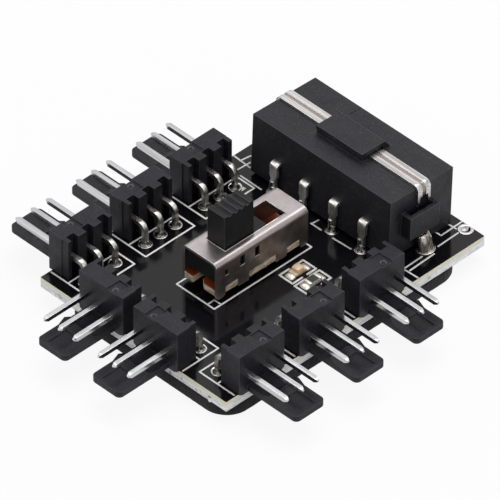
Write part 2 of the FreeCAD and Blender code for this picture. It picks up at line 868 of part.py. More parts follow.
def make_slider():
    """Slider of the switch: a carrier inside the shell with the knob standing on it."""
    half = shell_width / 2 - shell_sheet - slider_side_clearance
    top = shell_top - shell_sheet - slider_top_clearance
    inner_round = shell_bend_radius - shell_sheet
    shoulder = half - inner_round
    length = shell_length - knob_travel - 2 * slider_end_clearance
    y = knob_rest() - length / 2
    outline = [(-half, y, slider_bottom), (-half, y, top - inner_round), (-shoulder, y, top),
               (shoulder, y, top), (half, y, top - inner_round), (half, y, slider_bottom)]
    carrier = prism(outline, (0, length, 0))
    return from_switch(carrier.fuse(make_knob()).removeSplitter())


def make_bridge(row):
    """Contact strip under the slider that joins two neighbouring terminals of a row."""
    x = terminal_row_offset(row)
    middle = -(terminal_count - 2) * terminal_pitch / 2
    half = bridge_length / 2
    under = slider_bottom - bridge_thickness
    strip = block((x - bridge_width / 2, middle - half, under),
                  (x + bridge_width / 2, middle + half, slider_bottom))
    domes = []
    for side in (-1, 1):
        y = middle + side * terminal_pitch / 2
        low = x - bridge_width / 2
        outline = [(low, y - bridge_dome_radius, under), (low, y - bridge_dome_flat, under - bridge_dome_drop),
                   (low, y + bridge_dome_flat, under - bridge_dome_drop), (low, y + bridge_dome_radius, under)]
        domes.append(prism(outline, (bridge_width, 0, 0)))
    return from_switch(strip.fuse(domes).removeSplitter())


def make_led():
    """Chip light: flat base with a tapered lens on its middle."""
    x = led_centre_x
    y = chip_centre_y
    base = block((x - chip_width / 2, y - chip_length / 2, 0), (x + chip_width / 2, y + chip_length / 2,
                                                               led_base_height))
    foot = rectangle(x, y, chip_width, led_lens_length, led_base_height)
    crown = rectangle(x, y, chip_width - 2 * led_lens_taper, led_lens_length - 2 * led_lens_taper,
                      led_base_height + led_lens_height)
    return base.fuse(Part.makeLoft([foot, crown], True)).removeSplitter()


def rectangle(x, y, width, length, z):
    """Level rectangular wire about a middle point."""
    corners = [Vector(x + side * width / 2, y + end * length / 2, z)
               for side, end in ((-1, -1), (1, -1), (1, 1), (-1, 1))]
    return Part.makePolygon(corners + corners[:1])


def make_resistor():
    """Chip resistor: flat body with raised metal ends."""
    x = resistor_centre_x
    y = chip_centre_y
    half = chip_width / 2
    end = chip_length / 2
    body = block((x - half, y - end, 0), (x + half, y + end, resistor_height))
    caps = []
    for low, high in ((y - end, y - end + resistor_end_length), (y + end - resistor_end_length, y + end)):
        caps.append(block((x - half, low, 0), (x + half, high, resistor_height + resistor_end_raise)))
    return body.fuse(caps).removeSplitter()


def make_chip_solder(x, end):
    """Wedge of solder at one end of a chip."""
    face = chip_centre_y + end * chip_length / 2
    half = chip_width / 2
    outline = [(x - half, face, 0), (x - half, face + end * chip_solder_length, 0),
               (x - half, face, chip_solder_height)]
    return prism(outline, (chip_width, 0, 0))


def header_pieces():
    """Housings and pins of every fan header, and the solder at their feet."""
    pieces = {}
    solder = []
    pin = make_pin()
    for name, edge_point, turn, overhang, recess_offset in header_places():
        housing = make_header(overhang, recess_offset)
        pieces[f"fan_header_{name}"] = on_edge(housing, edge_point, turn, overhang)
        for index, across in enumerate(pin_lines()):
            shifted = pin.copy()
            shifted.translate(Vector(0, across, 0))
            pieces[f"pin_{name}_{index + 1}"] = on_edge(shifted, edge_point, turn, overhang)
            solder.append(make_pin_solder(foot_point(edge_point, turn, overhang, across)))
    pieces["header_solder"] = Part.makeCompound(solder)
    return pieces


def power_pieces():
    """Power socket, its contacts, strap and solder."""
    strap = lean(make_strap())
    pieces = {"power_socket": lean(make_socket()), "hold_down_strap": strap}
    solder = []
    for index, x in enumerate(contact_lines()):
        contact = lean(make_contact(x))
        pieces[f"power_contact_{index + 1}"] = contact
        solder.append(make_contact_solder(x, contact))
    pieces["power_solder"] = Part.makeCompound(solder)
    tails = [make_strap_solder(x, strap) for x in strap_tail_lines()]
    pieces["strap_solder"] = Part.makeCompound(tails)
    pieces["via_solder"] = make_via_fill()
    return pieces


def switch_pieces():
    """Shell, base, slider, bridging contacts and terminals of the slide switch."""
    pieces = {"switch_shell": make_shell(), "switch_base": make_switch_base(),
              "switch_slider": make_slider()}
    for row, side in enumerate(("left", "right")):
        pieces[f"bridge_contact_{side}"] = make_bridge(row)
    for index, (x, y) in enumerate(terminal_places()):
        pieces[f"switch_terminal_{index + 1}"] = make_terminal(x, y)
    return pieces


def chip_pieces():
    """Chip light, chip resistor and their solder."""
    solder = [make_chip_solder(x, end) for x in (led_centre_x, resistor_centre_x) for end in (-1, 1)]
    return {"indicator_led": make_led(), "chip_resistor": make_resistor(),
            "chip_solder": Part.makeCompound(solder)}


def main():
    """Make every piece, move it to the hub's own frame and write it out."""
    pieces = {"circuit_board": make_board(), "base_pad": make_pad()}
    pieces.update(header_pieces())
    pieces.update(power_pieces())
    pieces.update(switch_pieces())
    pieces.update(chip_pieces())
    origin = Vector(-board_width / 2, -board_depth / 2, board_thickness + pad_thickness)
    os.makedirs("parts", exist_ok=True)
    for name, shape in pieces.items():
        placed = shape.copy()
        placed.translate(origin)
        placed.exportStep(f"parts/{name}.step")
        print(name, len(placed.Solids), placed.isValid(), round(placed.Volume, 4))
    print("pieces", len(pieces), "travel", knob_travel)


main()
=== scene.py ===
"""Looks of a small fan hub board: its finishes, fine meshes, light and camera.

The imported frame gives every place. Sizes here are in millimetres and are turned to metres where a
mesh is made. Places on the board are measured from its left front corner, on its top face.
"""

from __future__ import annotations

import logging
import math
import random
from collections.abc import Callable, Iterable
from dataclasses import dataclass, field, replace
from enum import Enum
from functools import partial

import bmesh
import bpy
from mathutils import Matrix, Vector, noise
from mathutils.kdtree import KDTree

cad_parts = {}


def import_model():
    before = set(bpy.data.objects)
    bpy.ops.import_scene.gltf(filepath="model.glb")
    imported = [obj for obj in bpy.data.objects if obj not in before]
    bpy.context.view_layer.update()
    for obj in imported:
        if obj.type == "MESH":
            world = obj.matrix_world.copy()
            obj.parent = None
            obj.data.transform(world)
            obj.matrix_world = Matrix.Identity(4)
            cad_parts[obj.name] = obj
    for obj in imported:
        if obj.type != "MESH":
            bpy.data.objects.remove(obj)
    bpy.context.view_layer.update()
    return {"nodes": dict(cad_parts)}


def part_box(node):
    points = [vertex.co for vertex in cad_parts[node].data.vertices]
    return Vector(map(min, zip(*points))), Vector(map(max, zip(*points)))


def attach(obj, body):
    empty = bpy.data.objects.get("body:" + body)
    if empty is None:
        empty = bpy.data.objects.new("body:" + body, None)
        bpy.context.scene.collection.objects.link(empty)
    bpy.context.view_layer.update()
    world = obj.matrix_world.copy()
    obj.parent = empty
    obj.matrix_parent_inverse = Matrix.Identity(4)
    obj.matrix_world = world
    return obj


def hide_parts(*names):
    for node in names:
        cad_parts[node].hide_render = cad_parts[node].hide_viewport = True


MM = 0.001
# A face looks along an axis when more than this share of its normal does.
SQUARE_ON = 0.9
# Corners of a square, anticlockwise.
SQUARE = ((-1, -1), (1, -1), (1, 1), (-1, 1))
LOG = logging.getLogger("fan_hub")
Colour = tuple[float, float, float, float]
Point = tuple[float, float]
Tree = bpy.types.NodeTree
Socket = bpy.types.NodeSocket
Piece = bpy.types.Object
Shape = bmesh.types.BMesh
Face = bmesh.types.BMFace
Ring = list[bmesh.types.BMVert]


class Body(Enum):
    """Moving bodies of the hub."""

    HUB = "hub"
    SLIDER = "slider"


def srgb(code: str) -> Colour:
    """Turn an sRGB hex colour to linear light.

    Args:
        code: colour such as "#8a8a8a"

    Returns:
        red, green, blue and alpha, each from 0 to 1
    """
    parts = [int(code[start:start + 2], 16) / 255 for start in (1, 3, 5)]
    linear = [part / 12.92 if part <= 0.04045 else ((part + 0.055) / 1.055) ** 2.4 for part in parts]
    return (linear[0], linear[1], linear[2], 1.0)


def per_metre(size_mm: float) -> float:
    """Pattern scale that makes one repeat as long as the size.

    Args:
        size_mm: length of one repeat

    Returns:
        repeats in a metre
    """
    return 1 / (size_mm * MM)


def add_node(tree: Tree, kind: str, inputs: dict | None = None, **settings) -> bpy.types.Node:
    """Add one shader node with its settings, values and links.

    Args:
        tree: node tree that gets the node
        kind: Blender's name for the node
        inputs: a value or an output socket for each input, by name or number
        **settings: attributes of the node

    Returns:
        the new node
    """
    node = tree.nodes.new(kind)
    for key, value in settings.items():
        setattr(node, key, value)
    for key, value in (inputs or {}).items():
        if isinstance(value, Socket):
            tree.links.new(value, node.inputs[key])
        else:
            node.inputs[key].default_value = value
    return node


def lay_over(tree: Tree, pattern: dict, spread: dict, under: Colour | Socket, over: Colour) -> Socket:
    """Lay one colour over another wherever a noise runs high.

    Args:
        tree: node tree of the material
        pattern: inputs of the noise
        spread: heights of the noise where the cover starts and is full, and its greatest share
        under: colour underneath
        over: colour on top

    Returns:
        colour socket
    """
    patches = add_node(tree, "ShaderNodeTexNoise", pattern)
    share = add_node(tree, "ShaderNodeMapRange", {"Value": patches.outputs["Fac"], **spread})
    mixed = add_node(tree, "ShaderNodeMix", {0: share.outputs["Result"], 6: under, 7: over}, data_type="RGBA")
    return mixed.outputs[2]


@dataclass(frozen=True)
class Finish:
    """A surface with two drifting colours, drifting gloss and a fine relief."""

    name: str
    colour: str
    shade: str
    roughness: float
    gloss_drift: float = 0.08
    patch_mm: float = 6.0
    grain_mm: tuple[float, float, float] = (0.3, 0.3, 0.3)
    relief_mm: float = 0.01
    metallic: float = 0.0
    specular: float = 0.5
    coat: float = 0.0
    coat_roughness: float = 0.1
    drift: float = 1.0
    speck: str = "#000000"
    speck_mm: float = 0.22
    speck_share: float = 0.0

    def build(self) -> bpy.types.Material:
        """Make the material.

        Returns:
            the finished material
        """
        made = bpy.data.materials.new(self.name)
        made.use_nodes = True
        tree = made.node_tree
        shader = tree.nodes["Principled BSDF"]
        shader.inputs["Metallic"].default_value = self.metallic
        shader.inputs["Specular IOR Level"].default_value = self.specular
        shader.inputs["Coat Weight"].default_value = self.coat
        shader.inputs["Coat Roughness"].default_value = self.coat_roughness
        place = add_node(tree, "ShaderNodeTexCoord").outputs["Object"]
        tree.links.new(self.tone(tree, place), shader.inputs["Base Color"])
        tree.links.new(self.gloss(tree, place), shader.inputs["Roughness"])
        relief = {"Height": self.height(tree, place), "Distance": self.relief_mm * MM}
        bump = add_node(tree, "ShaderNodeBump", relief)
        tree.links.new(bump.outputs["Normal"], shader.inputs["Normal"])
        self.dress(tree, shader, place)
        return made

    def tone(self, tree: Tree, place: Socket) -> Socket:
        """Colour that drifts in soft patches.

        Args:
            tree: node tree of the material
            place: position on the piece

        Returns:
            colour socket
        """
        patches = {"Vector": place, "Scale": per_metre(self.patch_mm), "Detail": 5.0, "Roughness": 0.6}
        spread = {"From Min": 0.35, "From Max": 0.68, "To Max": self.drift}
        drifting = lay_over(tree, patches, spread, srgb(self.colour), srgb(self.shade))
        return self.speckled(tree, place, drifting)

    def speckled(self, tree: Tree, place: Socket, under: Socket) -> Socket:
        """Scatter fine dust or grain over a colour.

        Args:
            tree: node tree of the material
            place: position on the piece
            under: colour under the specks

        Returns:
            colour socket
        """
        if self.speck_share == 0:
            return under
        grain = {"Vector": place, "Scale": per_metre(self.speck_mm), "Detail": 3.0, "Roughness": 0.7}
        spread = {"From Min": 0.52, "From Max": 0.78, "To Max": self.speck_share}
        return lay_over(tree, grain, spread, under, srgb(self.speck))

    def gloss(self, tree: Tree, place: Socket) -> Socket:
        """Roughness that drifts with handling marks.

        Args:
            tree: node tree of the material
            place: position on the piece

        Returns:
            roughness socket
        """
        marks = add_node(tree, "ShaderNodeTexNoise", {"Vector": place, "Scale": per_metre(self.patch_mm / 3),
                                                      "Detail": 6.0, "Distortion": 0.6})
        spread = add_node(tree, "ShaderNodeMapRange",
                          {"Value": marks.outputs["Fac"], "From Min": 0.3, "From Max": 0.7,
                           "To Min": max(0.02, self.roughness - self.gloss_drift),
                           "To Max": min(1.0, self.roughness + self.gloss_drift)})
        return spread.outputs["Result"]

    def height(self, tree: Tree, place: Socket) -> Socket:
        """Fine relief, longer along one axis where the surface was drawn or brushed.

        Args:
            tree: node tree of the material
            place: position on the piece

        Returns:
            height socket
        """
        scale = [per_metre(size) for size in self.grain_mm]
        stretched = add_node(tree, "ShaderNodeMapping", {"Vector": place, "Scale": scale})
        grain = add_node(tree, "ShaderNodeTexNoise", {"Vector": stretched.outputs["Vector"], "Scale": 1.0,
                                                      "Detail": 3.0, "Roughness": 0.65})
        return grain.outputs["Fac"]

    def dress(self, tree: Tree, shader: bpy.types.Node, place: Socket) -> None:
        """Add what only this finish has.

        Args:
            tree: node tree of the material
            shader: its main shader
            place: position on the piece
        """


@dataclass(frozen=True)
class WovenLaminate(Finish):
    """Cut edge of a laminate, with its layers showing as streaks and chips broken out of it."""

    layer_mm: float = 0.19
    streak_layers: float = 8.0
    chip_mm: float = 0.7
    chip: str = "#77756a"

    def tone(self, tree: Tree, place: Socket) -> Socket:
        """Colour streaked along the layers and speckled where fibres broke out.

        Args:
            tree: node tree of the material
            place: position on the piece

        Returns:
            colour socket
        """
        long = per_metre(self.streak_layers * self.layer_mm)
        scale = [long, long, per_metre(self.layer_mm)]
        layers = add_node(tree, "ShaderNodeMapping", {"Vector": place, "Scale": scale})
        streaks = {"Vector": layers.outputs["Vector"], "Scale": 1.0, "Detail": 4.0, "Roughness": 0.7}
        spread = {"From Min": 0.38, "From Max": 0.66}
        streaked = lay_over(tree, streaks, spread, srgb(self.colour), srgb(self.shade))
        chips = {"Vector": place, "Scale": per_metre(self.chip_mm), "Detail": 6.0}
        spread = {"From Min": 0.6, "From Max": 0.72, "To Max": 0.7}
        return lay_over(tree, chips, spread, streaked, srgb(self.chip))


@dataclass(frozen=True)
class RoutedEdge(WovenLaminate):
    """Routed edge of the board, straw coloured in its top layer of resin."""

    top_mm: float = 3.5
    rim_mm: float = 0.75
    fade_share: float = 0.7
    ragged_mm: float = 0.5
    straw: str = "#e6e2cb"
    straw_share: float = 0.85

    def tone(self, tree: Tree, place: Socket) -> Socket:
        """Streaked colour with the straw rim laid over its top.

        Args:
            tree: node tree of the material
            place: position on the piece

        Returns:
            colour socket
        """
        under = super().tone(tree, place)
        height = add_node(tree, "ShaderNodeSeparateXYZ", {"Vector": place}).outputs["Z"]
        ragged = add_node(tree, "ShaderNodeTexNoise", {"Vector": place, "Scale": per_metre(self.ragged_mm),
                                                       "Detail": 4.0})
        edge = add_node(tree, "ShaderNodeMath", {0: ragged.outputs["Fac"], 1: self.rim_mm * MM, 2: height},
                        operation="MULTIPLY_ADD")
        start = self.top_mm - self.fade_share * self.rim_mm
        share = add_node(tree, "ShaderNodeMapRange",
                         {"Value": edge.outputs[0], "From Min": start * MM, "From Max": self.top_mm * MM,
                          "To Max": self.straw_share})
        mixed = add_node(tree, "ShaderNodeMix", {0: share.outputs["Result"], 6: under, 7: srgb(self.straw)},
                         data_type="RGBA")
        return mixed.outputs[2]


@dataclass(frozen=True)
class DrawnMetal(Finish):
    """Metal with long lines that the die, the rolls or a brush left in it."""

    def tone(self, tree: Tree, place: Socket) -> Socket:
        """Colour that changes from line to line.

        Args:
            tree: node tree of the material
            place: position on the piece

        Returns:
            colour socket
        """
        scale = [per_metre(size) for size in self.grain_mm]
        stretched = add_node(tree, "ShaderNodeMapping", {"Vector": place, "Scale": scale})
        lines = {"Vector": stretched.outputs["Vector"], "Scale": 0.5, "Detail": 2.0, "Roughness": 0.5}
        spread = {"From Min": 0.35, "From Max": 0.65, "To Max": self.drift}
        lined = lay_over(tree, lines, spread, srgb(self.colour), srgb(self.shade))
        return self.speckled(tree, place, lined)


@dataclass(frozen=True)
class CellFoam(Finish):
    """Closed-cell foam with its cut cells showing on every face."""

    cell_mm: float = 0.35
    sheen: float = 0.15
    sheen_roughness: float = 0.6

    def height(self, tree: Tree, place: Socket) -> Socket:
        """Pits of the cut cells.

        Args:
            tree: node tree of the material
            place: position on the piece

        Returns:
            height socket
        """
        cells = add_node(tree, "ShaderNodeTexVoronoi", {"Vector": place, "Scale": per_metre(self.cell_mm)})
        return cells.outputs["Distance"]

    def dress(self, tree: Tree, shader: bpy.types.Node, place: Socket) -> None:
        """Give the cell walls their soft sheen.

        Args:
            tree: node tree of the material
            shader: its main shader
            place: position on the piece
        """
        shader.inputs["Sheen Weight"].default_value = self.sheen
        shader.inputs["Sheen Roughness"].default_value = self.sheen_roughness


@dataclass(frozen=True)
class LightResin(Finish):
    """Cloudy resin that lets some light in."""

    scatter: float = 0.4
    scatter_mm: float = 0.3
    scatter_colours: tuple[float, float, float] = (0.5, 0.3, 0.2)

    def dress(self, tree: Tree, shader: bpy.types.Node, place: Socket) -> None:
        """Scatter light under the surface.

        Args:
            tree: node tree of the material
            shader: its main shader
            place: position on the piece
        """
        shader.inputs["Subsurface Weight"].default_value = self.scatter
        shader.inputs["Subsurface Radius"].default_value = self.scatter_colours
        shader.inputs["Subsurface Scale"].default_value = self.scatter_mm * MM


# Nylon 66, injection moulded in a spark-eroded tool: near black with a fine dull grain and some
# dust. The real grain is under 0.05 mm and is drawn coarser so that it shows.
HEADER_NYLON = Finish("header_nylon_moulded_black", "#15151b", "#1f1f25", 0.52, 0.08, 5.0,
                      (0.25, 0.25, 0.25), 0.006, specular=0.22, speck="#5c5c62", speck_share=0.35)
# The same nylon on every rounded rim and corner: a touch paler and smoother, partly rubbed wear and partly a
# painted highlight along the edges.
RUBBED_NYLON_HIGHLIGHT = Finish("header_nylon_rubbed_rim", "#26262c", "#36363c", 0.42, 0.1, 2.0,
                      (0.2, 0.2, 0.2), 0.004, specular=0.35)
# Nylon torn off at the gate of the mould, on the rims round the gate marks: pale and rough, partly the torn
# nylon and partly a painted highlight round each rim.
TORN_NYLON_HIGHLIGHT = Finish("header_nylon_torn_gate", "#8a8a90", "#5a5a60", 0.7, 0.1, 0.3,
                    (0.1, 0.1, 0.1), 0.01, specular=0.4)
# Nylon of the power socket: the same black, with broader flow marks.
SOCKET_NYLON = Finish("socket_nylon_moulded_black", "#14141a", "#1d1d23", 0.5, 0.1, 9.0,
                      (0.3, 0.3, 0.3), 0.008, specular=0.26, speck="#66666c", speck_share=0.35)
# Acetal of the switch knob, moulded: deep black and slightly waxy.
KNOB_ACETAL = Finish("knob_acetal_moulded_black", "#0c0c0e", "#151517", 0.5, 0.08, 4.0,
                     (0.3, 0.3, 0.3), 0.008, specular=0.2, speck="#4a4a4c", speck_share=0.25)
# Liquid solder mask over glass laminate: black gloss with a faint orange peel.
SOLDER_MASK = Finish("solder_mask_gloss_black", "#08080c", "#0f0f14", 0.12, 0.04, 8.0,
                     (1.1, 1.1, 1.1), 0.0025, specular=0.32, speck="#505056", speck_share=0.12)
# Epoxy ink, screen printed: flat white with slightly ragged coverage.
SCREEN_INK = Finish("screen_print_epoxy_white", "#fbfbfa", "#e9e9e6", 0.6, 0.06, 0.8,
                    (0.15, 0.15, 0.15), 0.004, specular=0.4)
# Routed edge of glass-epoxy laminate: white with pale grey streaks of cut cloth, straw along its top.
ROUTED_LAMINATE = RoutedEdge("glass_epoxy_routed_edge", "#ffffff", "#c3c9d4", 0.7, 0.1, 1.2,
                             (1.1, 1.1, 0.16), 0.04, specular=0.4)
# Resin at the rims of the cut, where the mask flaked back: pale straw.
LAMINATE_RIM = Finish("glass_epoxy_bare_rim", "#ddd5b4", "#c9bf99", 0.6, 0.1, 1.0,
                      (0.3, 0.3, 0.3), 0.01, specular=0.3)
# Brass wire, drawn square and tin plated: bright with fine die lines.
PIN_TIN = DrawnMetal("pin_brass_bright_tin", "#d1d1d3", "#b4b4b6", 0.17, 0.04, 4.0,
                     (6.0, 0.12, 0.12), 0.0012, metallic=1.0)
# The same wire where it runs the other way, so its die lines do too.
CROSS_PIN_TIN = replace(PIN_TIN, name="cross_pin_brass_bright_tin", grain_mm=(0.12, 6.0, 0.12))
# The same wire where it was bent down: the tin crazed to a satin.
BENT_TIN = DrawnMetal("pin_brass_bent_satin_tin", "#dcdad6", "#a5a29c", 0.32, 0.08, 1.5,
                      (0.2, 0.2, 1.5), 0.003, metallic=1.0)
# Phosphor bronze strip, stamped and tin plated: bright, with smears of reflowed tin.
CONTACT_TIN = DrawnMetal("contact_bronze_reflowed_tin", "#f4f2ee", "#bcb8b1", 0.4, 0.1, 1.5,
                         (0.3, 0.3, 2.2), 0.0025, metallic=1.0)
# Steel strip, rolled and tin plated: white metal with long rolling lines.
STRAP_TIN = DrawnMetal("strap_steel_rolled_tin", "#d6d5d5", "#a9a6a5", 0.28, 0.04, 6.0,
                       (9.0, 0.16, 0.16), 0.003, metallic=1.0)
# The strap's rims: the brightest lines on it, a painted highlight along its edges.
STRAP_RIM_HIGHLIGHT = Finish("strap_steel_pressed_rim", "#f2f0ec", "#dcdad6", 0.2, 0.05, 1.0,
                   (3.0, 0.15, 0.15), 0.002, metallic=1.0)
# The groove along the strap: painted darker and browner, a painted shade in the groove, and duller.
STRAP_GROOVE_SHADE = DrawnMetal("strap_steel_fluxed_groove", "#998f8a", "#7f756f", 0.4, 0.05, 4.0,
                          (9.0, 0.12, 0.12), 0.004, metallic=1.0)
# Steel sheet, folded and dull nickel plated: warm grey with a fine speckle, brushed across its top.
SHELL_NICKEL = Finish("shell_steel_dull_nickel", "#a8a1a1", "#968e8d", 0.34, 0.05, 3.5,
                      (0.14, 5.0, 1.2), 0.002, metallic=1.0, speck="#6d6462", speck_share=0.4)
# The same sheet down the shell's sides, where the die drew it: painted browner, darker and patchy, a painted
# shade and a painted reflection on the sides.
SHELL_SIDE_SHADE = replace(SHELL_NICKEL, name="shell_steel_drawn_side", colour="#9b908a", shade="#7c6f67",
                     roughness=0.42, patch_mm=1.4, gloss_drift=0.07, grain_mm=(1.2, 0.16, 1.8),
                     relief_mm=0.004)
# The shell's sheared rims and the burr round its slot: brighter than its faces, partly burnished by the tool
# and partly a painted highlight along the edges.
SHELL_RIM_HIGHLIGHT = Finish("shell_steel_burnished_rim", "#d8d2d0", "#bcb4b2", 0.22, 0.05, 1.0,
                   (0.2, 0.2, 0.2), 0.002, metallic=1.0)
# Paper laminate with phenolic resin: dark red brown with a waxy face.
PHENOLIC_FACE = Finish("phenolic_paper_pressed_face", "#96431f", "#6f2c14", 0.4, 0.08, 2.0,
                       (0.5, 0.5, 0.5), 0.006, specular=0.3)
# The same laminate where it was punched: tan fluffy paper layers.
PHENOLIC_EDGE = WovenLaminate("phenolic_paper_punched_edge", "#f6e6d0", "#99795a", 0.8, 0.08, 1.2,
                              (0.3, 0.3, 0.12), 0.05, specular=0.25, layer_mm=0.2)
# Tin-lead solder, flowed and cooled: mirror bright with soft ripples.
SOLDER_TIN = Finish("solder_flowed_rippled", "#6f6d6b", "#d4d1cd", 0.17, 0.08, 0.45,
                    (0.4, 0.4, 0.4), 0.05, metallic=1.0)
# Solder in the plated holes under thin flux: dark glass over ripples, with small glints.
FLUXED_SOLDER = Finish("solder_flowed_fluxed", "#454341", "#93908b", 0.13, 0.06, 0.35,
                       (0.28, 0.28, 0.28), 0.09, metallic=1.0)
# The same solder where it wetted a flat pad and set smooth: bright and clean.
BRIGHT_SOLDER = Finish("solder_flowed_smooth", "#d8d5d0", "#b0ada8", 0.2, 0.08, 0.7,
                       (0.5, 0.5, 0.5), 0.02, metallic=1.0)
# Solder paste melted on the chips' lands under clear flux: pale cream with a soft shine.
PASTE_SOLDER = Finish("solder_paste_melted", "#f4efe6", "#c9c2b6", 0.48, 0.12, 0.5,
                      (0.3, 0.3, 0.3), 0.02, metallic=1.0)
# Solder on the strap's tails, set in wrinkles and stained by flux: brownish grey.
STAINED_SOLDER = DrawnMetal("solder_flowed_wrinkled", "#6f6761", "#cfc6bd", 0.2, 0.08, 0.8,
                            (0.35, 0.35, 1.4), 0.05, metallic=1.0)
# Levelled tin on bare copper lands: even, softly bright.
LAND_TIN = Finish("land_copper_levelled_tin", "#d0d0d3", "#b4b4b7", 0.24, 0.06, 0.8,
                  (0.4, 0.4, 0.4), 0.01, metallic=1.0)
# Solder that sank into the bare hole: dull grey, mottled with flux.
SUNK_SOLDER = Finish("solder_sunk_mottled", "#bdbbb8", "#7d7874", 0.36, 0.12, 0.45,
                     (0.3, 0.3, 0.3), 0.02, metallic=1.0)
# Silvered brass of the contacts inside the switch: clean and softly bright.
SWITCH_SILVER = Finish("switch_brass_silvered", "#dcd4c4", "#c2b8a4", 0.28, 0.08, 1.2,
                       (0.2, 0.2, 0.2), 0.004, metallic=1.0)
# Cloudy resin of the chip light: warm peach, glossy.
LED_RESIN = LightResin("led_resin_peach", "#f6dcbe", "#e8bf98", 0.3, 0.08, 0.5,
                       (0.3, 0.3, 0.3), 0.006, specular=0.5)
# Moulded frame under the light, seen through a film of resin: cream.
LED_FRAME = LightResin("led_frame_moulded_cream", "#ecdcc6", "#d9bf9f", 0.4, 0.08, 0.5,
                       (0.3, 0.3, 0.3), 0.006, specular=0.4)
# Glazed ceramic body of the chip resistor: black glass with tiny pits.
CHIP_GLAZE = Finish("chip_ceramic_black_glaze", "#1d1c1c", "#2c2a29", 0.25, 0.06, 0.6,
                    (0.2, 0.2, 0.2), 0.004, specular=0.5)
# Bare alumina down the sides of the chip resistor: white and matt.
CHIP_ALUMINA = Finish("chip_alumina_fired_white", "#dedbd4", "#c4c0b8", 0.6, 0.08, 0.4,
                      (0.15, 0.15, 0.15), 0.006, specular=0.4)
# Foam rubber pad: soot black and matt, with cut cells.
PAD_FOAM = CellFoam("pad_foam_rubber_black", "#110f10", "#191618", 0.95, 0.04, 5.0,
                    (0.35, 0.35, 0.35), 0.06, specular=0.2)


@dataclass
class Bench:
    """Where the pieces are made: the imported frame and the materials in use."""

    nodes: dict[str, bpy.types.Object]
    origin: Vector
    weld_mm: float = 0.002
    flat_angle: float = 0.6
    sharp_angle: float = 32.0
    rim_steps: int = 2
    throw_share: float = 2.2
    shading_weight: int = 80
    materials: dict[str, bpy.types.Material] = field(default_factory=dict)

    def material(self, finish: Finish) -> bpy.types.Material:
        """Material of a finish, made once.

        Args:
            finish: what to make

        Returns:
            the material
        """
        if finish.name not in self.materials:
            self.materials[finish.name] = finish.build()
        return self.materials[finish.name]

    def on_board(self, x: float, y: float, z: float = 0.0) -> Vector:
        """Point in the frame from a place on the board.

        Args:
            x: distance from the board's left edge
            y: distance from its front edge
            z: height over its top face

        Returns:
            the point in metres
        """
        return self.origin + Vector((x, y, z)) * MM

    def add_piece(self, name: str, shape: Shape, finishes: Iterable[Finish], slot: str, *stood_for: str,
                  body: Body = Body.HUB) -> Piece:
        """Turn a finished shape into a piece of the scene.

        Args:
            name: name of the piece
            shape: its mesh, which is used up
            finishes: finishes in the order of the faces' numbers
            slot: material slot of the piece; not used
            *stood_for: nodes that it replaces
            body: body that carries it

        Returns:
            the piece
        """
        mesh = bpy.data.meshes.new(name)
        for face in shape.faces:
            face.smooth = True
        shape.to_mesh(mesh)
        shape.free()
        for finish in finishes:
            mesh.materials.append(self.material(finish))
        piece = bpy.data.objects.new(name, mesh)
        bpy.context.scene.collection.objects.link(piece)
        weighted = piece.modifiers.new("even_shading", "WEIGHTED_NORMAL")
        weighted.weight = self.shading_weight
        weighted.keep_sharp = True
        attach(piece, body.value)
        if stood_for:
            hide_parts(*stood_for)
        LOG.info("piece %s rides on %s with %d faces", piece.name, body.value, len(piece.data.polygons))
        return piece

    def rounded(self, node: str, name: str, rim_mm: float, finishes: list[Finish], slot: str,
                choose: Callable[[Face], int] | None = None, rim: int = -1, body: Body = Body.HUB,
                cut: tuple[Vector, Vector] | None = None) -> Piece:
        """Make a piece in a node's own shape, with its sharp edges rounded.

        Args:
            node: node whose shape and place the piece takes
            name: name of the piece
            rim_mm: radius of the rounded edges
            finishes: finishes of the piece
            slot: material slot of the piece
            choose: gives the number of each face's finish
            rim: number of the rounded edges' finish, or -1 for their neighbours' own
            body: body that carries it
            cut: point and normal of a plane where the faces are parted, so that a finish can end there

        Returns:
            the piece
        """
        shape = bmesh.new()
        shape.from_mesh(self.nodes[node].data)
        bmesh.ops.remove_doubles(shape, verts=shape.verts, dist=self.weld_mm * MM)
        bmesh.ops.dissolve_limit(shape, angle_limit=math.radians(self.flat_angle), verts=shape.verts,
                                 edges=shape.edges)
        if cut:
            parts = [*shape.verts, *shape.edges, *shape.faces]
            bmesh.ops.bisect_plane(shape, geom=parts, plane_co=cut[0], plane_no=cut[1])
        shape.normal_update()
        for face in shape.faces:
            face.material_index = choose(face) if choose else 0
        self.round_edges(shape, rim_mm, rim)
        return self.add_piece(name, shape, finishes, slot, node, body=body)

    def round_edges(self, shape: Shape, rim_mm: float, rim: int) -> None:
        """Round every sharp edge, and draw back corners that the rounding threw too far.

        Args:
            shape: mesh to change
            rim_mm: radius of the rounded edges
            rim: number of the rounded edges' finish, or -1 for their neighbours' own
        """
        limit = math.radians(self.sharp_angle)
        sharp = [edge for edge in shape.edges if edge.is_manifold and edge.calc_face_angle() > limit]
        marks = []
        for edge in sharp:
            start, end = edge.verts[0].co.copy(), edge.verts[1].co.copy()
            count = 1 + int((end - start).length / (rim_mm * MM))
            marks.extend(start.lerp(end, step / count) for step in range(count + 1))
        lookup = KDTree(len(marks))
        for index, mark in enumerate(marks):
            lookup.insert(mark, index)
        lookup.balance()
        made = bmesh.ops.bevel(shape, geom=sharp, offset=rim_mm * MM, offset_type="OFFSET",
                               segments=self.rim_steps, profile=0.5, affect="EDGES", clamp_overlap=False,
                               material=rim)
        for corner in made["verts"]:
            mark, _, gap = lookup.find(corner.co)
            if gap > self.throw_share * rim_mm * MM:
                corner.co = mark


def turns(count: int) -> list[float]:
    """Angles of evenly spaced points round a circle."""
    return [2 * math.pi * index / count for index in range(count)]


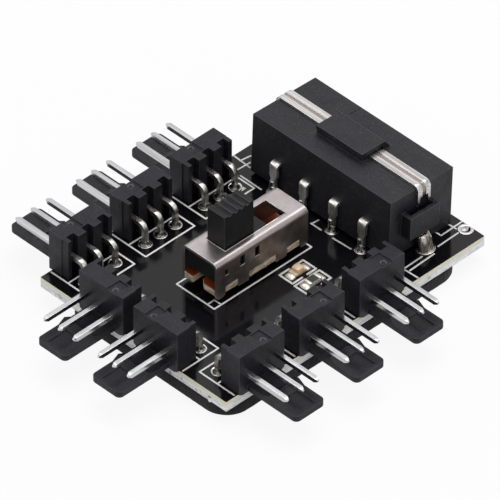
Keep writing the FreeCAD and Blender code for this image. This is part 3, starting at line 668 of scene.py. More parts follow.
def join_rings(shape: Shape, lower: Ring, upper: Ring, finish: int = 0) -> None:
    """Close the band between two rings of points.

    Args:
        shape: mesh that gets the faces
        lower: points of the lower or outer ring
        upper: points of the upper or inner ring
        finish: number of the band's finish
    """
    for index, corner in enumerate(lower):
        following = (index + 1) % len(lower)
        band = shape.faces.new([corner, lower[following], upper[following], upper[index]])
        band.material_index = finish


def stack_rings(shape: Shape, rings: list[Ring], tip: Vector | None = None, lip_bands: int = 0) -> None:
    """Close a solid that rings of points outline from its foot to its top.

    Args:
        shape: mesh that gets the faces
        rings: rings of points from the foot up
        tip: point that the top rises to, or None for a flat top
        lip_bands: number of bands from the foot up that have the second finish
    """
    for index, (lower, upper) in enumerate(zip(rings, rings[1:])):
        join_rings(shape, lower, upper, 1 if index < lip_bands else 0)
    shape.faces.new(list(reversed(rings[0])))
    if tip is None:
        shape.faces.new(rings[-1])
        return
    top, peak = rings[-1], shape.verts.new(tip)
    for index, corner in enumerate(top):
        shape.faces.new([corner, top[(index + 1) % len(top)], peak])


def add_prism(shape: Shape, outline: list[Vector], rise: Vector) -> None:
    """Add a closed prism to a mesh.

    Args:
        shape: mesh that gets it
        outline: corners of its lower face, anticlockwise from above
        rise: from the lower to the upper face
    """
    low = [shape.verts.new(point) for point in outline]
    high = [shape.verts.new(point + rise) for point in outline]
    stack_rings(shape, [low, high])


@dataclass(frozen=True)
class Joint:
    """One solder joint: its sizes, how hollow it is, where it leans, how wide its lead is and its place."""

    foot: float
    crown: float
    height: float
    hollow: float = 2.3
    lean: float = 0.0
    stretch: float = 1.0
    drift: float = 0.0
    x: float = 0.0
    y: float = 0.0


# Low joint round a header pin, most of it sunk in the plated hole.
HEADER_JOINT = Joint(foot=0.95, crown=0.38, height=0.5)
# Joint round the tail of a power contact, flattened like the tail.
CONTACT_JOINT = Joint(foot=0.93, crown=0.5, height=0.95, stretch=0.7)
# Solder that climbed one edge of a power contact.
CONTACT_CLIMB = Joint(foot=0.5, crown=0.3, height=1.75, hollow=1.0, lean=0.06, stretch=0.8)
# Tall heap round a tail of the strap.
STRAP_JOINT = Joint(foot=1.34, crown=0.62, height=2.4, hollow=0.8, stretch=1.2, drift=-0.2)


@dataclass
class SolderWork:
    """Solder joints that flow up round their leads."""

    bench: Bench
    sides: int = 28
    levels: int = 9
    lip_width: float = 0.22
    # How far in each ring of the lip stands, as a share of its width, and how high. The last is the
    # valley between the lip and the cone.
    lip: tuple[Point, ...] = ((0.0, 0.0), (0.2, 0.07), (0.6, 0.07), (1.0, 0.025))
    climb_power: float = 1.15
    tip_rise: float = 0.12
    lump_share: float = 0.09
    fine_lump_share: float = 0.6
    rise_share: float = 0.5
    seed: int = 41

    def flow(self, name: str, joints: list[Joint], node: str, finish: Finish) -> None:
        """Make one piece of like joints, each with a smooth lip.

        Args:
            name: name of the piece
            joints: its joints
            node: node that it stands for
            finish: finish of the solder
        """
        shape = bmesh.new()
        chance = random.Random(self.seed)
        for joint in joints:
            self.add_joint(shape, joint, chance)
        self.bench.add_piece(name, shape, [finish, BRIGHT_SOLDER], "solder", node)

    def add_joint(self, shape: Shape, joint: Joint, chance: random.Random) -> None:
        """Add one hollow-sided cone with uneven flanks.

        Args:
            shape: mesh that gets it
            joint: sizes of the joint
            chance: seeded source of its lumps
        """
        phases = [chance.uniform(0, 2 * math.pi) for _ in range(3)]
        rings = [self.add_ring(shape, joint, joint.foot - inset * self.lip_width, height, 0.0, phases)
                 for inset, height in self.lip]
        start, valley = joint.foot - self.lip_width, self.lip[-1][1]
        for level in range(1, self.levels + 1):
            share = level / self.levels
            radius = joint.crown + (start - joint.crown) * (1 - share) ** joint.hollow
            height = valley + (joint.height - valley) * share ** self.climb_power
            rings.append(self.add_ring(shape, joint, radius, height, share, phases))
        tip = self.bench.on_board(joint.x + joint.lean, joint.y + joint.drift,
                                  joint.height + self.tip_rise * joint.crown)
        stack_rings(shape, rings, tip, lip_bands=len(self.lip) - 1)

    def add_ring(self, shape: Shape, joint: Joint, radius: float, height: float, share: float,
                 phases: list[float]) -> Ring:
        """Add one uneven ring of points.

        Args:
            shape: mesh that gets it
            joint: joint that it belongs to
            radius: mean radius of the ring
            height: its height over the board
            share: how far up the joint it lies
            phases: where the joint's lumps lie

        Returns:
            the points in order
        """
        lumps = self.lump_share * math.sin(math.pi * share)
        ring = []
        for angle in turns(self.sides):
            fine = self.fine_lump_share * math.sin(3 * angle + phases[1])
            swell = 1 + lumps * (math.sin(2 * angle + phases[0]) + fine)
            rise = height * (1 + self.rise_share * lumps * math.sin(angle + phases[2]))
            x = joint.x + joint.lean * share + radius * swell * math.cos(angle)
            wide = 1 + (joint.stretch - 1) * share
            y = joint.y + joint.drift * share + radius * swell * math.sin(angle) * wide
            ring.append(shape.verts.new(self.bench.on_board(x, y, rise)))
        return ring


@dataclass
class CircuitBoard:
    """Black board with its routed edge, white screen print and one bare plated hole."""

    bench: Bench
    width: float = 32.3
    depth: float = 43.95
    rim: float = 0.03
    print_width: float = 0.24
    chip_print_width: float = 0.3
    print_height: float = 0.02
    print_step: float = 0.0001
    pin_mark: tuple[Point, ...] = ((4.71, 29.4), (5.6, 28.66), (5.61, 29.45))
    cap_steps: int = 5
    hole_x: float = 29.78
    hole_y: float = 43.2
    hole_steps: int = 36
    # Radius and height of each ring of the land: from the foot of the hole's barrel over its mouth, a
    # narrow ledge and a step up to the flat of the land, then down the land's soft outer edge.
    land_profile: tuple[Point, ...] = ((0.59, -1.4), (0.59, -0.03), (0.61, 0.01), (0.67, 0.012), (0.7, 0.031),
                                       (0.72, 0.035), (0.97, 0.035), (1.0, 0.027), (1.02, 0.0))
    # How far in each ring of the sunk solder stands, and its height: foot, rim and top.
    fill_profile: tuple[Point, ...] = ((0.05, -1.4), (0.0, 0.0), (0.05, 0.02))
    fill_radius: float = 0.66
    fill_shift: float = 0.4
    back_margin: float = 0.04

    def build(self) -> None:
        """Make the laminate, its print and the plated hole."""
        self.bench.rounded("circuit_board", "board_laminate", self.rim,
                           [SOLDER_MASK, ROUTED_LAMINATE, LAMINATE_RIM], "board_mask",
                           lambda face: 0 if abs(face.normal.z) > SQUARE_ON else 1, rim=2)
        self.screen_print()
        self.plated_hole()

    def screen_print(self) -> None:
        """Print every line on the board's top."""
        shape = bmesh.new()
        outlines = self.header_lines() + self.power_lines() + self.switch_lines()
        strokes = []
        for paths, width in ((outlines, self.print_width), (self.chip_lines(), self.chip_print_width)):
            strokes.extend((start, end, width) for path in paths for start, end in zip(path, path[1:]))
        for index, (start, end, width) in enumerate(strokes):
            self.add_stroke(shape, start, end, width, self.print_height + index * self.print_step)
        mark = [self.bench.on_board(x, y) for x, y in self.pin_mark]
        add_prism(shape, mark, Vector((0, 0, self.print_height * MM)))
        self.bench.add_piece("screen_print_lines", shape, [SCREEN_INK], "board_mask")

    def add_stroke(self, shape: Shape, start: Point, end: Point, width: float, height: float) -> None:
        """Add one straight stroke of ink with round ends.

        Args:
            shape: mesh that gets it
            start: first end on the board
            end: other end
            width: width of the stroke
            height: thickness of the ink, a hair more from stroke to stroke so that none share a face
        """
        angle = math.atan2(end[1] - start[1], end[0] - start[0])
        half = width / 2
        outline = []
        for centre, turn in ((end, -math.pi / 2), (start, math.pi / 2)):
            for step in range(self.cap_steps + 1):
                here = angle + turn + math.pi * step / self.cap_steps
                outline.append(self.bench.on_board(centre[0] + half * math.cos(here),
                                                   centre[1] + half * math.sin(here)))
        add_prism(shape, outline, Vector((0, 0, height * MM)))

    def header_lines(self) -> list[list[Point]]:
        """Box and inner line printed round each fan header.

        Returns:
            paths on the board
        """
        near, far, inner, start, end = 0.3, 6.24, 3.2, -4.18, 4.08
        paths = []
        for place in HEADER_PLACES:
            box = [(near, start), (far, start), (far, end), (near, end)]
            for path in (box, [(inner, start), (inner, end)]):
                paths.append([place.point(reach, across) for reach, across in path])
        return paths

    def power_lines(self) -> list[list[Point]]:
        """Outline printed round the power socket, broken at its joints.

        Returns:
            paths on the board
        """
        return [[(3.4, 30.65), (6.99, 30.63)], [(10.2, 30.6), (12.4, 30.55)], [(15.8, 30.5), (17.55, 30.5)],
                [(15.94, 30.7), (16.02, 31.6)], [(19.67, 30.45), (22.64, 30.6)], [(25.9, 30.6), (29.6, 30.6)],
                [(0.2, 32.72), (3.12, 32.54)], [(1.34, 32.57), (1.57, 34.17)], [(2.32, 31.27), (2.44, 33.2)],
                [(29.74, 32.79), (29.67, 35.77)], [(29.69, 38.5), (29.62, 42.0)],
                [(30.5, 32.89), (30.36, 37.15)], [(30.01, 32.52), (32.1, 32.6)],
                [(27.53, 40.14), (28.51, 40.2), (28.46, 43.8)], [(27.58, 42.34), (28.92, 42.37)]]

    def switch_lines(self) -> list[list[Point]]:
        """Box printed round the switch, with a small square in its front right corner.

        Returns:
            paths on the board
        """
        left, right, front, back, corner = 12.52, 19.03, 10.93, 27.42, 1.2
        return [[(left, front), (right, front), (right, back), (left, back), (left, front)],
                [(right - corner, front), (right - corner, front + corner), (right, front + corner)]]

    def chip_lines(self) -> list[list[Point]]:
        """Brackets printed at both ends of the chip light and the chip resistor.

        Returns:
            paths on the board
        """
        gap_front, gap_back = 22.6, 23.5
        paths = []
        for left, right, front, back in ((20.04, 22.3, 20.98, 24.98), (22.78, 24.78, 20.86, 25.07)):
            for tip, end in ((gap_front, front), (gap_back, back)):
                paths.append([(left, tip), (left, end), (right, end), (right, tip)])
        return paths

    def plated_hole(self) -> None:
        """Raise the tinned land round the bare hole, line the hole and fill most of it with solder."""
        shape = bmesh.new()
        rings = [self.hole_ring(shape, radius, height) for radius, height in self.land_profile]
        for index, (inner, outer) in enumerate(zip(rings, rings[1:])):
            join_rings(shape, outer, inner, 1 if index == 0 else 0)
        self.bench.add_piece("plated_land", shape, [LAND_TIN, FLUXED_SOLDER], "solder")
        self.hole_fill()

    def hole_fill(self) -> None:
        """Solder sunk in the bare hole, with a crescent left open beside it."""
        shape = bmesh.new()
        rings = []
        for inset, height in self.fill_profile:
            ring = []
            for angle in turns(self.hole_steps):
                toward = -self.fill_shift * math.cos(angle)
                wall = toward + math.sqrt(toward ** 2 - self.fill_shift ** 2 + self.fill_radius ** 2)
                radius = min(self.fill_radius, wall) - inset
                x, y = radius * math.cos(angle), radius * math.sin(angle)
                ring.append(shape.verts.new(self.bench.on_board(self.hole_x + x, self.hole_y + y, height)))
            rings.append(ring)
        stack_rings(shape, rings)
        self.bench.add_piece("plated_hole_fill", shape, [SUNK_SOLDER], "solder", "via_solder")

    def hole_ring(self, shape: Shape, radius: float, height: float) -> Ring:
        """Add one ring of points round the bare hole, cut off short of the board's back edge.

        Args:
            shape: mesh that gets it
            radius: radius of the ring
            height: its height over the board

        Returns:
            the points in order
        """
        ring = []
        for angle in turns(self.hole_steps):
            x = self.hole_x + radius * math.cos(angle)
            y = min(self.hole_y + radius * math.sin(angle), self.depth - self.back_margin)
            ring.append(shape.verts.new(self.bench.on_board(x, y, height)))
        return ring


@dataclass(frozen=True)
class HeaderPlace:
    """One fan header: its name, the middle of its stretch of edge and the way that it faces."""

    name: str
    x: float
    y: float
    inward: Point
    along: Point

    def point(self, reach: float, across: float) -> Point:
        """Place on the board from a distance in from the edge and along it.

        Args:
            reach: distance in from the board's edge
            across: distance along the edge from the header's middle

        Returns:
            the place on the board
        """
        return (self.x + self.inward[0] * reach + self.along[0] * across,
                self.y + self.inward[1] * reach + self.along[1] * across)


def header_places() -> list[HeaderPlace]:
    """Places of the eight fan headers along the board's edges.

    Returns:
        three on the right, three on the left and two in front
    """
    side_count, side_start, side_pitch = 3, 5.8, 10.16
    front_count, front_start, front_pitch = 2, 11.05, 9.4
    places = []
    for index in range(side_count):
        y = side_start + index * side_pitch
        places.append(HeaderPlace(f"right_{index + 1}", CircuitBoard.width, y, (-1, 0), (0, 1)))
        places.append(HeaderPlace(f"left_{index + 1}", 0, y, (1, 0), (0, 1)))
    for index in range(front_count):
        x = front_start + index * front_pitch
        places.append(HeaderPlace(f"front_{index + 1}", x, 0, (0, 1), (1, 0)))
    return places


HEADER_PLACES = header_places()


@dataclass
class FanHeaders:
    """Eight right-angle headers with their square pins and solder."""

    bench: Bench
    solder: SolderWork
    rim: float = 0.04
    pin_rim: float = 0.03
    bend_reach: float = 2.5
    gate_area: float = 0.5
    gate_sides: int = 8
    gate_reach: float = 0.42
    pins: int = 3
    pin_pitch: float = 2.54
    leg_from_edge: dict[str, float] = field(
        default_factory=lambda: {"right": 4.75, "left": 4.45, "front": 4.6})

    def build(self) -> None:
        """Make the housings, pins and joints."""
        joints = []
        for place in HEADER_PLACES:
            gates: list[Vector] = []
            # Rims get the rubbed finish and rims round gate marks the torn one; both are partly a painted
            # highlight along the edges.
            housing = self.bench.rounded(f"fan_header_{place.name}", f"header_housing_{place.name}", self.rim,
                                         [HEADER_NYLON, RUBBED_NYLON_HIGHLIGHT, TORN_NYLON_HIGHLIGHT], "header_plastic",
                                         partial(self.note_gate, found=gates), rim=1)
            self.tear_and_highlight_gates(housing, gates)
            reach = self.leg_from_edge[place.name.split("_")[0]]
            finish = PIN_TIN if place.inward[1] == 0 else CROSS_PIN_TIN
            inward = Vector((*place.inward, 0))
            for index in range(self.pins):
                node = f"pin_{place.name}_{index + 1}"
                x, y = place.point(reach, (index - 1) * self.pin_pitch)
                leg = self.bench.on_board(x, y)
                self.bench.rounded(node, f"square_{node}", self.pin_rim, [finish, BENT_TIN], "tinned_pin",
                                   partial(self.pin_finish, leg=leg, inward=inward),
                                   cut=(leg - inward * self.bend_reach * MM, inward))
                joints.append(replace(HEADER_JOINT, x=x, y=y))
        self.solder.flow("header_joints", joints, "header_solder", FLUXED_SOLDER)

    def pin_finish(self, face: Face, leg: Vector, inward: Vector) -> int:
        """Satin finish for the bend and the leg of a pin, and bright for the rest.

        Args:
            face: face of the pin
            leg: where the pin stands
            inward: from the board's edge towards its middle

        Returns:
            number of its finish
        """
        reach = (face.calc_center_median() - leg).dot(inward)
        return 1 if abs(reach) < self.bend_reach * MM else 0

    def note_gate(self, face: Face, found: list[Vector]) -> int:
        """Black finish for every face, while the round floors of gate marks are noted.

        Args:
            face: face of a housing
            found: gets the middle of each gate mark

        Returns:
            number of the face's finish
        """
        round_floor = len(face.verts) >= self.gate_sides and face.normal.z > SQUARE_ON
        if round_floor and face.calc_area() < self.gate_area * MM * MM:
            found.append(face.calc_center_median())
        return 0

    def tear_and_highlight_gates(self, housing: Piece, gates: list[Vector]) -> None:
        """Give the rims of the gate marks their torn finish, partly a painted highlight round each rim.

        Args:
            housing: the finished housing
            gates: middle of each gate mark
        """
        for face in housing.data.polygons:
            for gate in gates:
                if face.material_index == 1 and (face.center - gate).length < self.gate_reach * MM:
                    face.material_index = 2


@dataclass
class PowerSocket:
    """Four-way socket with its strap, contacts and solder."""

    bench: Bench
    solder: SolderWork
    rim: float = 0.06
    strap_rim: float = 0.02
    contact_rim: float = 0.03
    groove_reach: float = 0.33
    groove_slack: float = 0.12
    contacts: int = 4
    contact_first: float = 8.405
    contact_pitch: float = 5.08
    contact_line: float = 31.4
    strap_line: float = 37.3
    strap_tails: tuple[float, float] = (2.85, 28.8)
    climb_shift: float = 0.26
    climb_reach: float = 0.12
    tail_offset: float = 0.18
    tail_lean: float = 0.12
    back: float = 42.6
    height: float = 8.84
    lean_angle: float = 2.34

    def build(self) -> None:
        """Make the housing, contacts, strap and joints."""
        # The housing's rims get the rubbed finish, partly a painted highlight; the strap's rims get a painted
        # highlight and its groove painted shade.
        self.bench.rounded("power_socket", "socket_housing", self.rim, [SOCKET_NYLON, RUBBED_NYLON_HIGHLIGHT],
                           "socket_plastic", rim=1)
        self.bench.rounded("hold_down_strap", "ribbed_strap", self.strap_rim,
                           [STRAP_TIN, STRAP_RIM_HIGHLIGHT, STRAP_GROOVE_SHADE], "strap_metal", self.strap_finish, rim=1)
        feet = []
        for index in range(self.contacts):
            self.bench.rounded(f"power_contact_{index + 1}", f"contact_blade_{index + 1}", self.contact_rim,
                               [CONTACT_TIN], "tinned_contact")
            x = self.contact_first + index * self.contact_pitch
            climb_x, climb_y = x - self.climb_shift, self.contact_line - self.climb_reach
            feet.append(replace(CONTACT_JOINT, x=x, y=self.contact_line))
            feet.append(replace(CONTACT_CLIMB, x=climb_x, y=climb_y))
        self.solder.flow("contact_joints", feet, "power_solder", SOLDER_TIN)
        tails = [replace(STRAP_JOINT, x=x, y=self.strap_line - self.tail_offset, lean=lean)
                 for x, lean in zip(self.strap_tails, (self.tail_lean, -self.tail_lean))]
        self.solder.flow("strap_joints", tails, "strap_solder", STAINED_SOLDER)
        self.knit_line()

    def leaned(self, x: float, y: float, z: float) -> Vector:
        """Point of the leaning housing from its place on the housing while it stood upright.

        Args:
            x: distance from the board's left edge
            y: distance from its front edge
            z: height over its top face

        Returns:
            the point in metres
        """
        turn = math.radians(self.lean_angle)
        reach = y - self.back
        return self.bench.on_board(x, self.back + reach * math.cos(turn) + z * math.sin(turn),
                                   z * math.cos(turn) - reach * math.sin(turn))

    def knit_line(self) -> None:
        """Dark strip on top of the housing along a seam: a painted shadow of the seam's slight step."""
        x, near, far, half, raised = 11.95, 40.6, 42.56, 0.055, 0.015
        places = ((x - half, near), (x + half, near), (x + half, far), (x - half, far))
        shape = bmesh.new()
        add_prism(shape, [self.leaned(*place, self.height) for place in places], Vector((0, 0, raised * MM)))
        # The strip takes the darker acetal, a painted shadow line.
        self.bench.add_piece("socket_knit_line", shape, [KNOB_ACETAL], "socket_plastic")

    def strap_finish(self, face: Face) -> int:
        """Dull finish with painted shade for the groove along the strap, and bright for the rest.

        Args:
            face: face of the strap

        Returns:
            number of its finish
        """
        middle = face.calc_center_median()
        line = self.leaned(0, self.strap_line, (middle.z - self.bench.origin.z) / MM).y
        reach = [corner.co.y for corner in face.verts]
        narrow = max(reach) - min(reach) < 2 * self.groove_reach * MM
        return 2 if narrow and abs(middle.y - line) < self.groove_slack * MM else 0


@dataclass
class SlideSwitch:
    """Slide switch: nickel shell, phenolic base, and the knob with its carrier."""

    bench: Bench
    rim: float = 0.03
    base_rim: float = 0.02
    knob_rim: float = 0.06
    bridge_rim: float = 0.03
    terminal_rim: float = 0.04
    terminals: int = 8
    middle_x: float = 15.65
    middle_y: float = 19.5
    shell_top: float = 6.1
    slot_width: float = 3.4
    slot_length: float = 10.15
    # How far out each ring of the burr stands, and its height over the shell: foot, crest and inner edge.
    burr_profile: tuple[Point, ...] = ((0.1, 0.0), (0.01, 0.05), (0.0, -0.02))

    def build(self) -> None:
        """Make the switch's pieces."""
        # Faces along x, the shell's sides, get the darker and browner side finish, a painted shade and
        # reflection; the rims get a painted highlight.
        self.bench.rounded("switch_shell", "nickel_shell", self.rim, [SHELL_NICKEL, SHELL_RIM_HIGHLIGHT, SHELL_SIDE_SHADE],
                           "shell_nickel", lambda face: 2 if abs(face.normal.x) > SQUARE_ON else 0, rim=1)
        self.bench.rounded("switch_base", "phenolic_base", self.base_rim, [PHENOLIC_FACE, PHENOLIC_EDGE],
                           "phenolic", lambda face: 0 if abs(face.normal.z) > SQUARE_ON else 1)
        # The knob's rims get the rubbed finish, partly a painted highlight along its edges.
        self.bench.rounded("switch_slider", "ribbed_knob", self.knob_rim, [KNOB_ACETAL, RUBBED_NYLON_HIGHLIGHT],
                           "knob_plastic", rim=1, body=Body.SLIDER)
        self.slot_burr()
        for side in ("left", "right"):
            self.bench.rounded(f"bridge_contact_{side}", f"bridge_strip_{side}", self.bridge_rim,
                               [SWITCH_SILVER], "switch_brass", body=Body.SLIDER)
        for index in range(self.terminals):
            self.bench.rounded(f"switch_terminal_{index + 1}", f"rivet_terminal_{index + 1}",
                               self.terminal_rim, [SWITCH_SILVER], "switch_brass")

    def slot_burr(self) -> None:
        """Low burr that the punch left round the slot, sloping away from it, in the bright rim finish: a
        painted highlight along the slot's edge.
        """
        shape = bmesh.new()
        rings = []
        for grow, height in self.burr_profile:
            half_x, half_y = self.slot_width / 2 + grow, self.slot_length / 2 + grow
            corners = [self.bench.on_board(self.middle_x + x * half_x, self.middle_y + y * half_y,
                                           self.shell_top + height) for x, y in SQUARE]
            rings.append([shape.verts.new(corner) for corner in corners])
        for outer, inner in zip(rings, rings[1:] + rings[:1]):
            join_rings(shape, outer, inner)
        self.bench.add_piece("slot_burr", shape, [SHELL_RIM_HIGHLIGHT], "shell_nickel")


@dataclass
class ChipParts:
    """Chip light and chip resistor with their solder."""

    bench: Bench
    rim: float = 0.05
    places: tuple[float, float] = (21.17, 23.77)
    middle_y: float = 22.97
    half_length: float = 1.0
    led_base_height: float = 0.4
    seam_slack: float = 0.01
    resistor_body: float = 1.3
    pillow_near: float = 0.18
    pillow_far: float = 0.78
    pillow_half_width: float = 0.72
    pillow_height: float = 0.3
    pillow_shift: float = 0.6
    pillow_dome: float = 0.7
    pillow_squareness: float = 0.6
    pillow_sides: int = 32
    pillow_levels: int = 7

    def build(self) -> None:
        """Make both chips and their solder."""
        self.bench.rounded("indicator_led", "chip_light", self.rim, [LED_FRAME, LED_RESIN, PASTE_SOLDER],
                           "led_resin", self.led_finish)
        self.bench.rounded("chip_resistor", "glazed_resistor", self.rim,
                           [CHIP_GLAZE, PASTE_SOLDER, CHIP_ALUMINA], "chip_body", self.resistor_finish, rim=2)
        shape = bmesh.new()
        for x in self.places:
            for end in (-1, 1):
                self.add_pillow(shape, x, end)
        self.bench.add_piece("chip_joints", shape, [PASTE_SOLDER], "solder", "chip_solder")

    def add_pillow(self, shape: Shape, x: float, end: int) -> None:
        """Add one cushion of solder on a land, highest against the chip.

        Args:
            shape: mesh that gets it
            x: middle of the chip
            end: -1 for the front end of the chip and 1 for the back one
        """
        face = self.middle_y + end * self.half_length
        middle = face + end * (self.pillow_far - self.pillow_near) / 2
        half_length = (self.pillow_far + self.pillow_near) / 2
        to_chip = -end * self.pillow_shift * half_length
        rings = []
        for level in range(self.pillow_levels):
            share = level / self.pillow_levels
            size = math.cos(share * math.pi / 2) ** self.pillow_dome
            height = self.pillow_height * math.sin(share * math.pi / 2)
            ring = []
            for angle in turns(self.pillow_sides):
                across = self.squarish(math.cos(angle)) * self.pillow_half_width * size
                along = self.squarish(math.sin(angle)) * half_length * size
                corner = self.bench.on_board(x + across, middle + along + share * to_chip, height)
                ring.append(shape.verts.new(corner))
            rings.append(ring)
        stack_rings(shape, rings, self.bench.on_board(x, middle + to_chip, self.pillow_height))

    def squarish(self, part: float) -> float:
        """Push a sine or cosine outward, so that a round outline fills out its corners."""
        return math.copysign(abs(part) ** self.pillow_squareness, part)

    def led_finish(self, face: Face) -> int:
        """Resin for the light's lens, solder for the ends of its frame and cream for the rest.

        Args:
            face: face of the light

        Returns:
            number of its finish
        """
        if face.calc_center_median().z > self.bench.on_board(0, 0, self.led_base_height + self.seam_slack).z:
            return 1
        return 2 if abs(face.normal.y) > SQUARE_ON else 0

    def resistor_finish(self, face: Face) -> int:
        """Tin for the ends, glaze for the top and bare alumina for the sides.

        Args:
            face: face of the resistor

        Returns:
            number of its finish
        """
        middle = self.bench.on_board(0, self.middle_y).y
        if abs(face.calc_center_median().y - middle) > self.resistor_body / 2 * MM:
            return 1
        return 0 if face.normal.z > SQUARE_ON else 2


@dataclass
class FoamPad:
    """Thick foam pad under the board, with rounded corners and torn cells along its sides."""

    bench: Bench
    corner: float = 3.6
    step: float = 0.3
    fewest_steps: int = 4
    bulge: float = 0.05
    tear: float = 0.06
    tear_length: float = 0.5
    fill: float = 1.0
    # How far up the side each loop lies, and how far it stands in.
    levels: tuple[Point, ...] = ((0.0, 0.16), (0.03, 0.06), (0.1, 0.0), (0.3, 0.0), (0.5, 0.0), (0.7, 0.0),
                                 (0.9, 0.0), (0.97, 0.06), (1.0, 0.16))

    def build(self) -> None:
        """Make the pad in the place of its node."""
        low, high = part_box("base_pad")
        shape = bmesh.new()
        stack_rings(shape, [self.add_loop(shape, low, high, share, inset) for share, inset in self.levels])
        piece = self.bench.add_piece("foam_pad", shape, [PAD_FOAM], "foam_pad", "base_pad")

    def add_loop(self, shape: Shape, low: Vector, high: Vector, share: float, inset: float) -> Ring:
        """Add one level loop of the pad's side.

        Args:
            shape: mesh that gets it
            low: lowest corner of the pad
            high: highest corner
            share: how far up the side the loop lies
            inset: how far it stands in

        Returns:
            the points in order
        """
        radius = self.corner * MM
        height = low.z + (high.z - low.z) * share
        quarter_steps = max(self.fewest_steps, int(math.pi / 2 * self.corner / self.step))
        corners = [(high.x - radius, low.y + radius, -math.pi / 2), (high.x - radius, high.y - radius, 0.0),
                   (low.x + radius, high.y - radius, math.pi / 2), (low.x + radius, low.y + radius, math.pi)]
        outline = []
        for x, y, turn in corners:
            for index in range(quarter_steps + 1):
                angle = turn + math.pi / 2 * index / quarter_steps
                outline.append((Vector((x, y)), Vector((math.cos(angle), math.sin(angle)))))
        crown = self.bulge * (1 - math.sin(math.pi * share))
        points = []
        for index, (centre, normal) in enumerate(outline):
            next_centre, next_normal = outline[(index + 1) % len(outline)]
            here = centre + normal * radius
            there = next_centre + next_normal * radius
            count = max(1, int((there - here).length / (self.step * MM)))
            for part in range(count):
                spot = here.lerp(there, part / count)
                pattern = noise.noise(Vector((spot.x, spot.y, height)) / (self.tear_length * MM))
                worn = self.tear * (0.5 + 0.5 * pattern)
                inner = spot - normal * (inset + worn + crown) * MM
                points.append(shape.verts.new(Vector((inner.x, inner.y, height))))
        return points


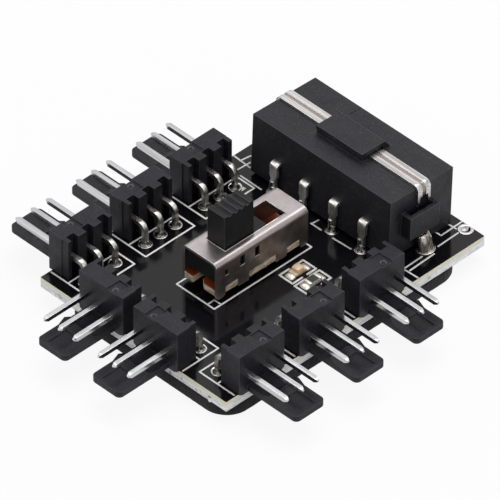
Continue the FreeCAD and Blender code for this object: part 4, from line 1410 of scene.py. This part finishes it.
@dataclass
class Stage:
    """White table, soft light and the camera."""

    azimuth: float = 45.664
    elevation: float = 40.53
    roll: float = -0.059
    distance: float = 1542.95
    aim: tuple[float, float, float] = (-1.967, -0.263, 3.5)
    lens: float = 914.49
    table_size: float = 8000.0
    table_white: str = "#f4f4f4"
    table_roughness: float = 0.9
    table_specular: float = 0.1
    table_glow: float = 0.9
    room_light: float = 0.45

    def build(self) -> None:
        """Make the table, the lamps, the surroundings and the camera."""
        self.table()
        self.surroundings()
        self.lamp("overhead_soft_box", (-40, 90, 330), size=260, power=0.62)
        self.lamp("front_left_fill", (-260, -260, 190), size=180, power=0.2)
        self.lamp("right_fill", (330, -60, 170), size=160, power=0.16)
        self.camera()

    def table(self) -> None:
        """White table that keeps the hub's shadow and looks white to the camera."""
        half = self.table_size / 2 * MM
        shape = bmesh.new()
        shape.faces.new([shape.verts.new((x * half, y * half, 0)) for x, y in SQUARE])
        mesh = bpy.data.meshes.new("white_table")
        shape.to_mesh(mesh)
        shape.free()
        material = bpy.data.materials.new("table_card_white")
        material.use_nodes = True
        tree = material.node_tree
        shader = tree.nodes["Principled BSDF"]
        shader.inputs["Base Color"].default_value = srgb(self.table_white)
        shader.inputs["Roughness"].default_value = self.table_roughness
        shader.inputs["Specular IOR Level"].default_value = self.table_specular
        white = add_node(tree, "ShaderNodeEmission", {"Color": (1, 1, 1, 1), "Strength": 1.0})
        share = add_node(tree, "ShaderNodeMath", {0: self.seen_directly(tree), 1: self.table_glow},
                         operation="MULTIPLY")
        mixed = add_node(tree, "ShaderNodeMixShader", {0: share.outputs[0], 1: shader.outputs[0],
                                                       2: white.outputs[0]})
        tree.links.new(mixed.outputs[0], tree.nodes["Material Output"].inputs["Surface"])
        mesh.materials.append(material)
        table = bpy.data.objects.new("white_table", mesh)
        bpy.context.scene.collection.objects.link(table)

    def seen_directly(self, tree: Tree) -> Socket:
        """Tell the camera's own rays and those by way of metal or glass from the light's.

        Args:
            tree: node tree that gets the nodes

        Returns:
            socket that is 1 for such a ray
        """
        path = add_node(tree, "ShaderNodeLightPath")
        first = add_node(tree, "ShaderNodeMath", {0: path.outputs["Is Camera Ray"],
                                                  1: path.outputs["Is Glossy Ray"]}, operation="MAXIMUM")
        both = add_node(tree, "ShaderNodeMath", {0: first.outputs[0], 1: path.outputs["Is Transmission Ray"]},
                        operation="MAXIMUM")
        return both.outputs[0]

    def surroundings(self) -> None:
        """White to the camera, and an even grey light on the hub."""
        world = bpy.data.worlds.new("white_room")
        world.use_nodes = True
        tree = world.node_tree
        background = tree.nodes["Background"]
        strength = add_node(tree, "ShaderNodeMapRange", {"Value": self.seen_directly(tree),
                                                         "To Min": self.room_light, "To Max": 1.0})
        background.inputs["Color"].default_value = (1, 1, 1, 1)
        tree.links.new(strength.outputs["Result"], background.inputs["Strength"])
        bpy.context.scene.world = world

    def lamp(self, name: str, place: tuple[float, float, float], size: float, power: float) -> None:
        """Add one soft box that points at the hub.

        Args:
            name: name of the lamp
            place: its middle
            size: its width and its height
            power: its power in watts
        """
        light = bpy.data.lights.new(name, "AREA")
        light.shape = "RECTANGLE"
        light.size = light.size_y = size * MM
        light.energy = power
        box = bpy.data.objects.new(name, light)
        box.location = Vector(place) * MM
        box.rotation_mode = "QUATERNION"
        box.rotation_quaternion = (Vector(self.aim) * MM - box.location).to_track_quat("-Z", "Y")
        bpy.context.scene.collection.objects.link(box)

    def camera(self) -> None:
        """Set the camera where the photograph was taken."""
        turn, lift = math.radians(self.azimuth), math.radians(self.elevation)
        back = Vector((math.sin(turn) * math.cos(lift), -math.cos(turn) * math.cos(lift), math.sin(lift)))
        right = Vector((math.cos(turn), math.sin(turn), 0))
        up = back.cross(right)
        basis = Matrix((right, up, back)).transposed()
        lens = bpy.data.cameras.new("photo_camera")
        lens.lens = self.lens
        lens.sensor_width = 36
        lens.clip_start, lens.clip_end = 0.1, 100
        camera = bpy.data.objects.new("photo_camera", lens)
        camera.rotation_mode = "QUATERNION"
        rolled = basis @ Matrix.Rotation(math.radians(self.roll), 3, "Z")
        camera.rotation_quaternion = rolled.to_quaternion()
        camera.location = (Vector(self.aim) + back * self.distance) * MM
        bpy.context.scene.collection.objects.link(camera)
        bpy.context.scene.camera = camera


def main() -> None:
    """Build every sub-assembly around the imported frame, then the stage."""
    logging.basicConfig(level=logging.INFO, format="%(message)s")
    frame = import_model()
    bpy.context.scene.view_settings.view_transform = "Standard"
    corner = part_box("circuit_board")[1]
    bench = Bench(frame["nodes"], corner - Vector((CircuitBoard.width, CircuitBoard.depth, 0)) * MM)
    solder = SolderWork(bench)
    CircuitBoard(bench).build()
    FoamPad(bench).build()
    FanHeaders(bench, solder).build()
    PowerSocket(bench, solder).build()
    SlideSwitch(bench).build()
    ChipParts(bench).build()
    Stage().build()


if __name__ == "__main__":
    main()
